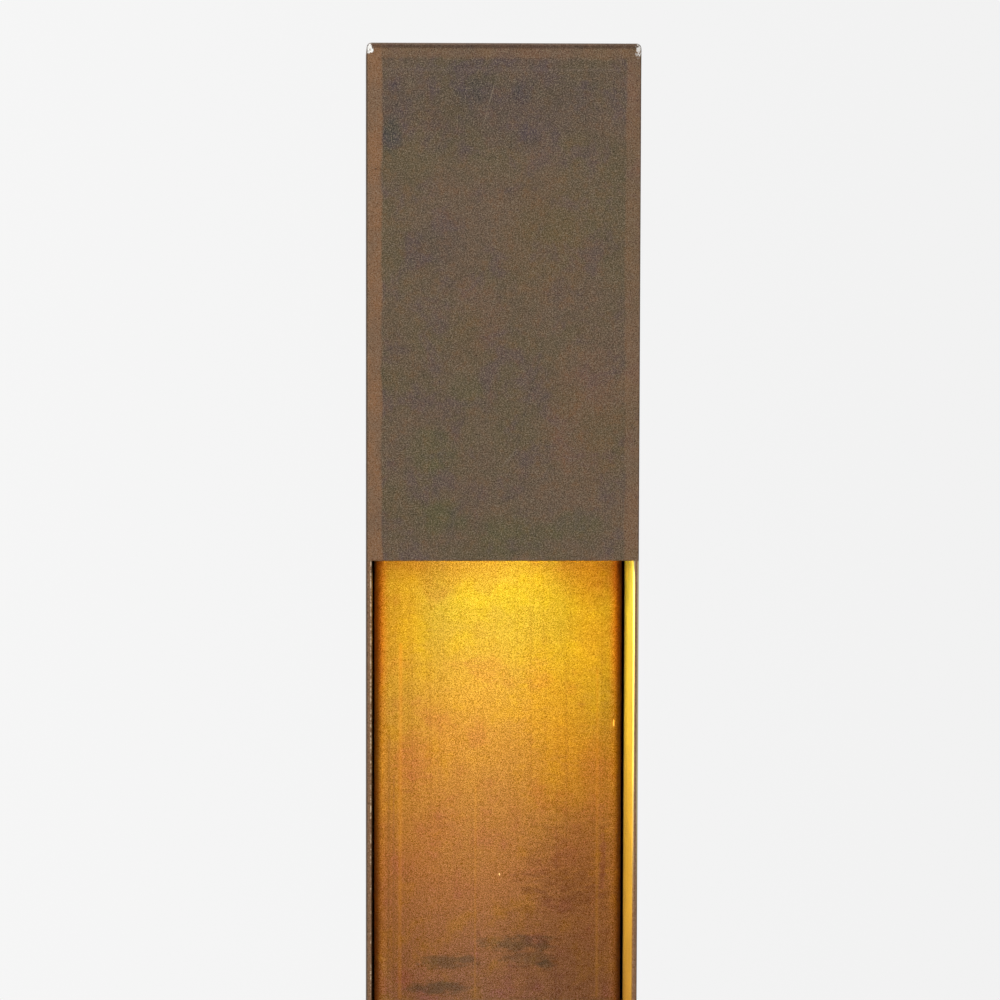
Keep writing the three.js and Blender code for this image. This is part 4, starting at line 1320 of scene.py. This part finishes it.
def lamp_leads():
    low, high = span("lamp_lead")
    wall = high.y - LEAD_R
    carrier = CARRIER_LOW.z
    route = [
        (-10, 30, low.z),
        (-10, 30, 292),
        (-5, 35, 322),
        (0, wall - 3, 356),
        (0, wall, 390),
        (0, wall, 470),
        (0, wall, 560),
        (0, wall - 1, 600),
        (0, LEAD_HOLE_Y, carrier - 11),
        (0, LEAD_HOLE_Y, carrier),
        (0, LEAD_HOLE_Y, carrier + 14),
        (0, 36, carrier + 30),
        (0, 26, carrier + 38),
        (0, 14, carrier + 35),
    ]
    plug_top = span("lamp_connector")[1].z
    route += [(0, PLUG_Y, plug_top + 8), (0, PLUG_Y, plug_top + GAP)]
    fine("lamp_lead", tube(smooth_route(route), LEAD_R), LEAD, width=0.2, angle=50)
    low, high = span("board_lead")
    flex = rod(BOARD_LEAD_R, low.y, high.y, (0, (low.z + high.z) / 2), "Y", 32)
    fine("board_lead", flex, LEAD, width=0.2)
    low, high = span("lead_clip")
    feet = block((low.x, high.y - 1.5, low.z), (high.x, high.y, high.z))
    arch = rod(LEAD_R + 1.8, low.z, high.z, (0, wall), sides=48)
    saddle = combined(feet, [arch], "UNION")
    behind = block((-20, high.y, low.z - 1), (20, high.y + 20, high.z + 1))
    bore = rod(LEAD_R + 0.4, low.z - 1, high.z + 1, (0, wall), sides=48)
    fine("lead_clip", cut(cut(saddle, [behind]), [bore]), STEEL, width=0.25)
    low, high = span("lead_grommet")
    rim = (high.x - low.x) / 2
    neck = LEAD_HOLE_R - GAP
    bore = LEAD_R + GAP
    profile = [
        (bore, low.z),
        (rim, low.z),
        (rim, carrier - GAP),
        (neck, carrier - GAP),
        (neck, CARRIER_HIGH.z + GAP),
        (rim, CARRIER_HIGH.z + GAP),
        (rim, high.z),
        (bore, high.z),
        (bore, low.z),
    ]
    fine("lead_grommet", turned(profile, (0, LEAD_HOLE_Y)), RUBBER, width=0.4)


def connector():
    """The plug and socket between the two leads, with finger grooves."""
    low, high = span("lamp_connector")
    shell = prism(rectangle(low.x, high.x, low.y, high.y, 1.5), low.z, high.z - 4)
    body = combined(shell, [rod(5, high.z - 5, high.z, (0, PLUG_Y), sides=48)], "UNION")
    grooves = []
    for z in (low.z + 3, low.z + 5, low.z + 7):
        grooves.append(block((low.x - 1, low.y - 1, z - 0.4), (low.x + 0.5, high.y + 1, z + 0.4)))
        grooves.append(block((high.x - 0.5, low.y - 1, z - 0.4), (high.x + 1, high.y + 1, z + 0.4)))
    fine("lamp_connector", cut(body, grooves), HOUSING, width=0.3)


def lamp():
    lamp_carrier()
    for side in ("left", "right"):
        refined(f"head_bracket_{side}", ZINC, width=0.3)
    lens_bezel()
    light_engine()
    refined("heat_sink", ALUMINIUM, width=0.4)
    lamp_leads()
    connector()


column_shell()
recess()
base()
gear()
lamp()
all_screws()


# ---------------------------------------------------------------- light

LAMP_COLOUR = (1.0, 0.70, 0.12)
LAMP_PLACE = Vector((0, PANEL_Y - 38, BEZEL_LOW.z - 1.2))
SPILL_TILT = 26  # degrees forward from straight down
SPILL_POWER = 0.46
BEAM_TILT = 44
BEAM_ANGLE = 172
BEAM_POWER = 9.4


def add_light(name, kind, place, aim, energy, colour, **settings):
    data = bpy.data.lights.new(name, kind)
    data.energy = energy
    data.color = colour
    for key, value in settings.items():
        setattr(data, key, value)
    light = bpy.data.objects.new(name, data)
    direction = Vector(aim) - Vector(place)
    light.rotation_mode = "QUATERNION"
    light.rotation_quaternion = direction.to_track_quat("-Z", "Y")
    light.location = place
    bpy.context.scene.collection.objects.link(light)
    return light


def tilted(degrees):
    """A place below the lamp, in the direction tilted forward by an angle from straight down."""
    angle = math.radians(degrees)
    return LAMP_PLACE * MM + Vector((0, -math.sin(angle), -math.cos(angle)))


def lamp_light():
    """The light that leaves the lamp's window: a wide spill and a stronger beam, which is returned."""
    place = LAMP_PLACE * MM
    disc = {"shape": "DISK", "size": 0.010}
    spill = add_light("lamp_spill", "AREA", place, tilted(SPILL_TILT), SPILL_POWER, LAMP_COLOUR, **disc)
    cone = {"spot_size": math.radians(BEAM_ANGLE), "spot_blend": 1.0, "shadow_soft_size": 0.005}
    beam = add_light("lamp_beam", "SPOT", place, tilted(BEAM_TILT), BEAM_POWER, LAMP_COLOUR, **cone)
    for light in (spill, beam):
        light.visible_camera = False
    return beam


WORLD_SHOWN = (0.919, 0.885)  # the backdrop's left and right
WORLD_REACH = (-0.09, 0.16)  # the directions that those two belong to
WORLD_LIGHT = 0.45


def studio():
    """A plain backdrop, its softer light on the object, and three softboxes."""
    world = bpy.data.worlds.new("studio")
    bpy.context.scene.world = world
    world.use_nodes = True
    world.node_tree.nodes.clear()
    new, link = world.node_tree.nodes.new, world.node_tree.links.new
    direction = new("ShaderNodeSeparateXYZ")
    link(new("ShaderNodeTexCoord").outputs["Generated"], direction.inputs[0])
    shade = new("ShaderNodeMapRange")
    for socket, value in zip(("From Min", "From Max", "To Min", "To Max"), (*WORLD_REACH, *WORLD_SHOWN)):
        shade.inputs[socket].default_value = value
    link(direction.outputs["X"], shade.inputs["Value"])
    cast, seen = new("ShaderNodeBackground"), new("ShaderNodeBackground")
    for background in (cast, seen):
        background.inputs["Color"].default_value = (1, 1, 1, 1)
    cast.inputs["Strength"].default_value = WORLD_LIGHT
    link(shade.outputs["Result"], seen.inputs["Strength"])
    chosen = new("ShaderNodeMixShader")
    link(new("ShaderNodeLightPath").outputs["Is Camera Ray"], chosen.inputs[0])
    link(cast.outputs[0], chosen.inputs[1])
    link(seen.outputs[0], chosen.inputs[2])
    link(chosen.outputs[0], new("ShaderNodeOutputWorld").inputs["Surface"])
    middle = (0, 0, 0.45)
    softbox = {"shape": "RECTANGLE", "size": 1.2, "size_y": 1.6}
    add_light("front_left", "AREA", (-1.3, -2.2, 1.3), middle, 22, (1, 1, 1), **softbox)
    add_light("front_right", "AREA", (1.5, -2.0, 1.1), middle, 14, (1, 1, 1), **softbox)
    add_light("overhead", "AREA", (0, 0.2, 2.6), middle, 18, (1, 1, 1), **softbox)


def floor_material():
    """Pale floor that fades out, so that no edge shows, and hides nothing from below."""
    g = Graph("floor")
    off = g.math("SQRT", g.add(g.times(g.x, g.x), g.times(g.y, g.y)))
    tone = g.noise(300, detail=2.0)
    base = g.mix(tone, (0.86, 0.86, 0.86, 1), (0.89, 0.89, 0.89, 1))
    shader = g.node("ShaderNodeBsdfPrincipled", {"Base Color": base, "Roughness": 0.6})
    clear = g.node("ShaderNodeBsdfTransparent")
    behind = g.node("ShaderNodeNewGeometry").outputs["Backfacing"]
    gone = g.math("MAXIMUM", g.fade(off, 700, 1900), behind)
    mixed = g.node("ShaderNodeMixShader", {0: gone, 1: shader.outputs[0], 2: clear.outputs[0]})
    g.node("ShaderNodeOutputMaterial", {"Surface": mixed.outputs[0]})
    return g.material


def add_floor():
    mesh = bmesh.new()
    bmesh.ops.create_circle(mesh, cap_ends=True, radius=2.0, segments=96)
    data = bpy.data.meshes.new("floor")
    mesh.to_mesh(data)
    mesh.free()
    data.materials.append(floor_material())
    floor = bpy.data.objects.new("floor", data)
    floor.location = (0, 0, -0.0005)
    bpy.context.scene.collection.objects.link(floor)
    return floor


def keep_off(light, thing):
    """Stops a light from falling on a thing."""
    kept = bpy.data.collections.new(f"{light.name}_keeps_off")
    kept.objects.link(thing)
    kept.collection_objects[0].light_linking.link_state = "EXCLUDE"
    light.light_linking.receiver_collection = kept


studio()
keep_off(lamp_light(), add_floor())
bpy.context.scene.view_settings.view_transform = "Standard"
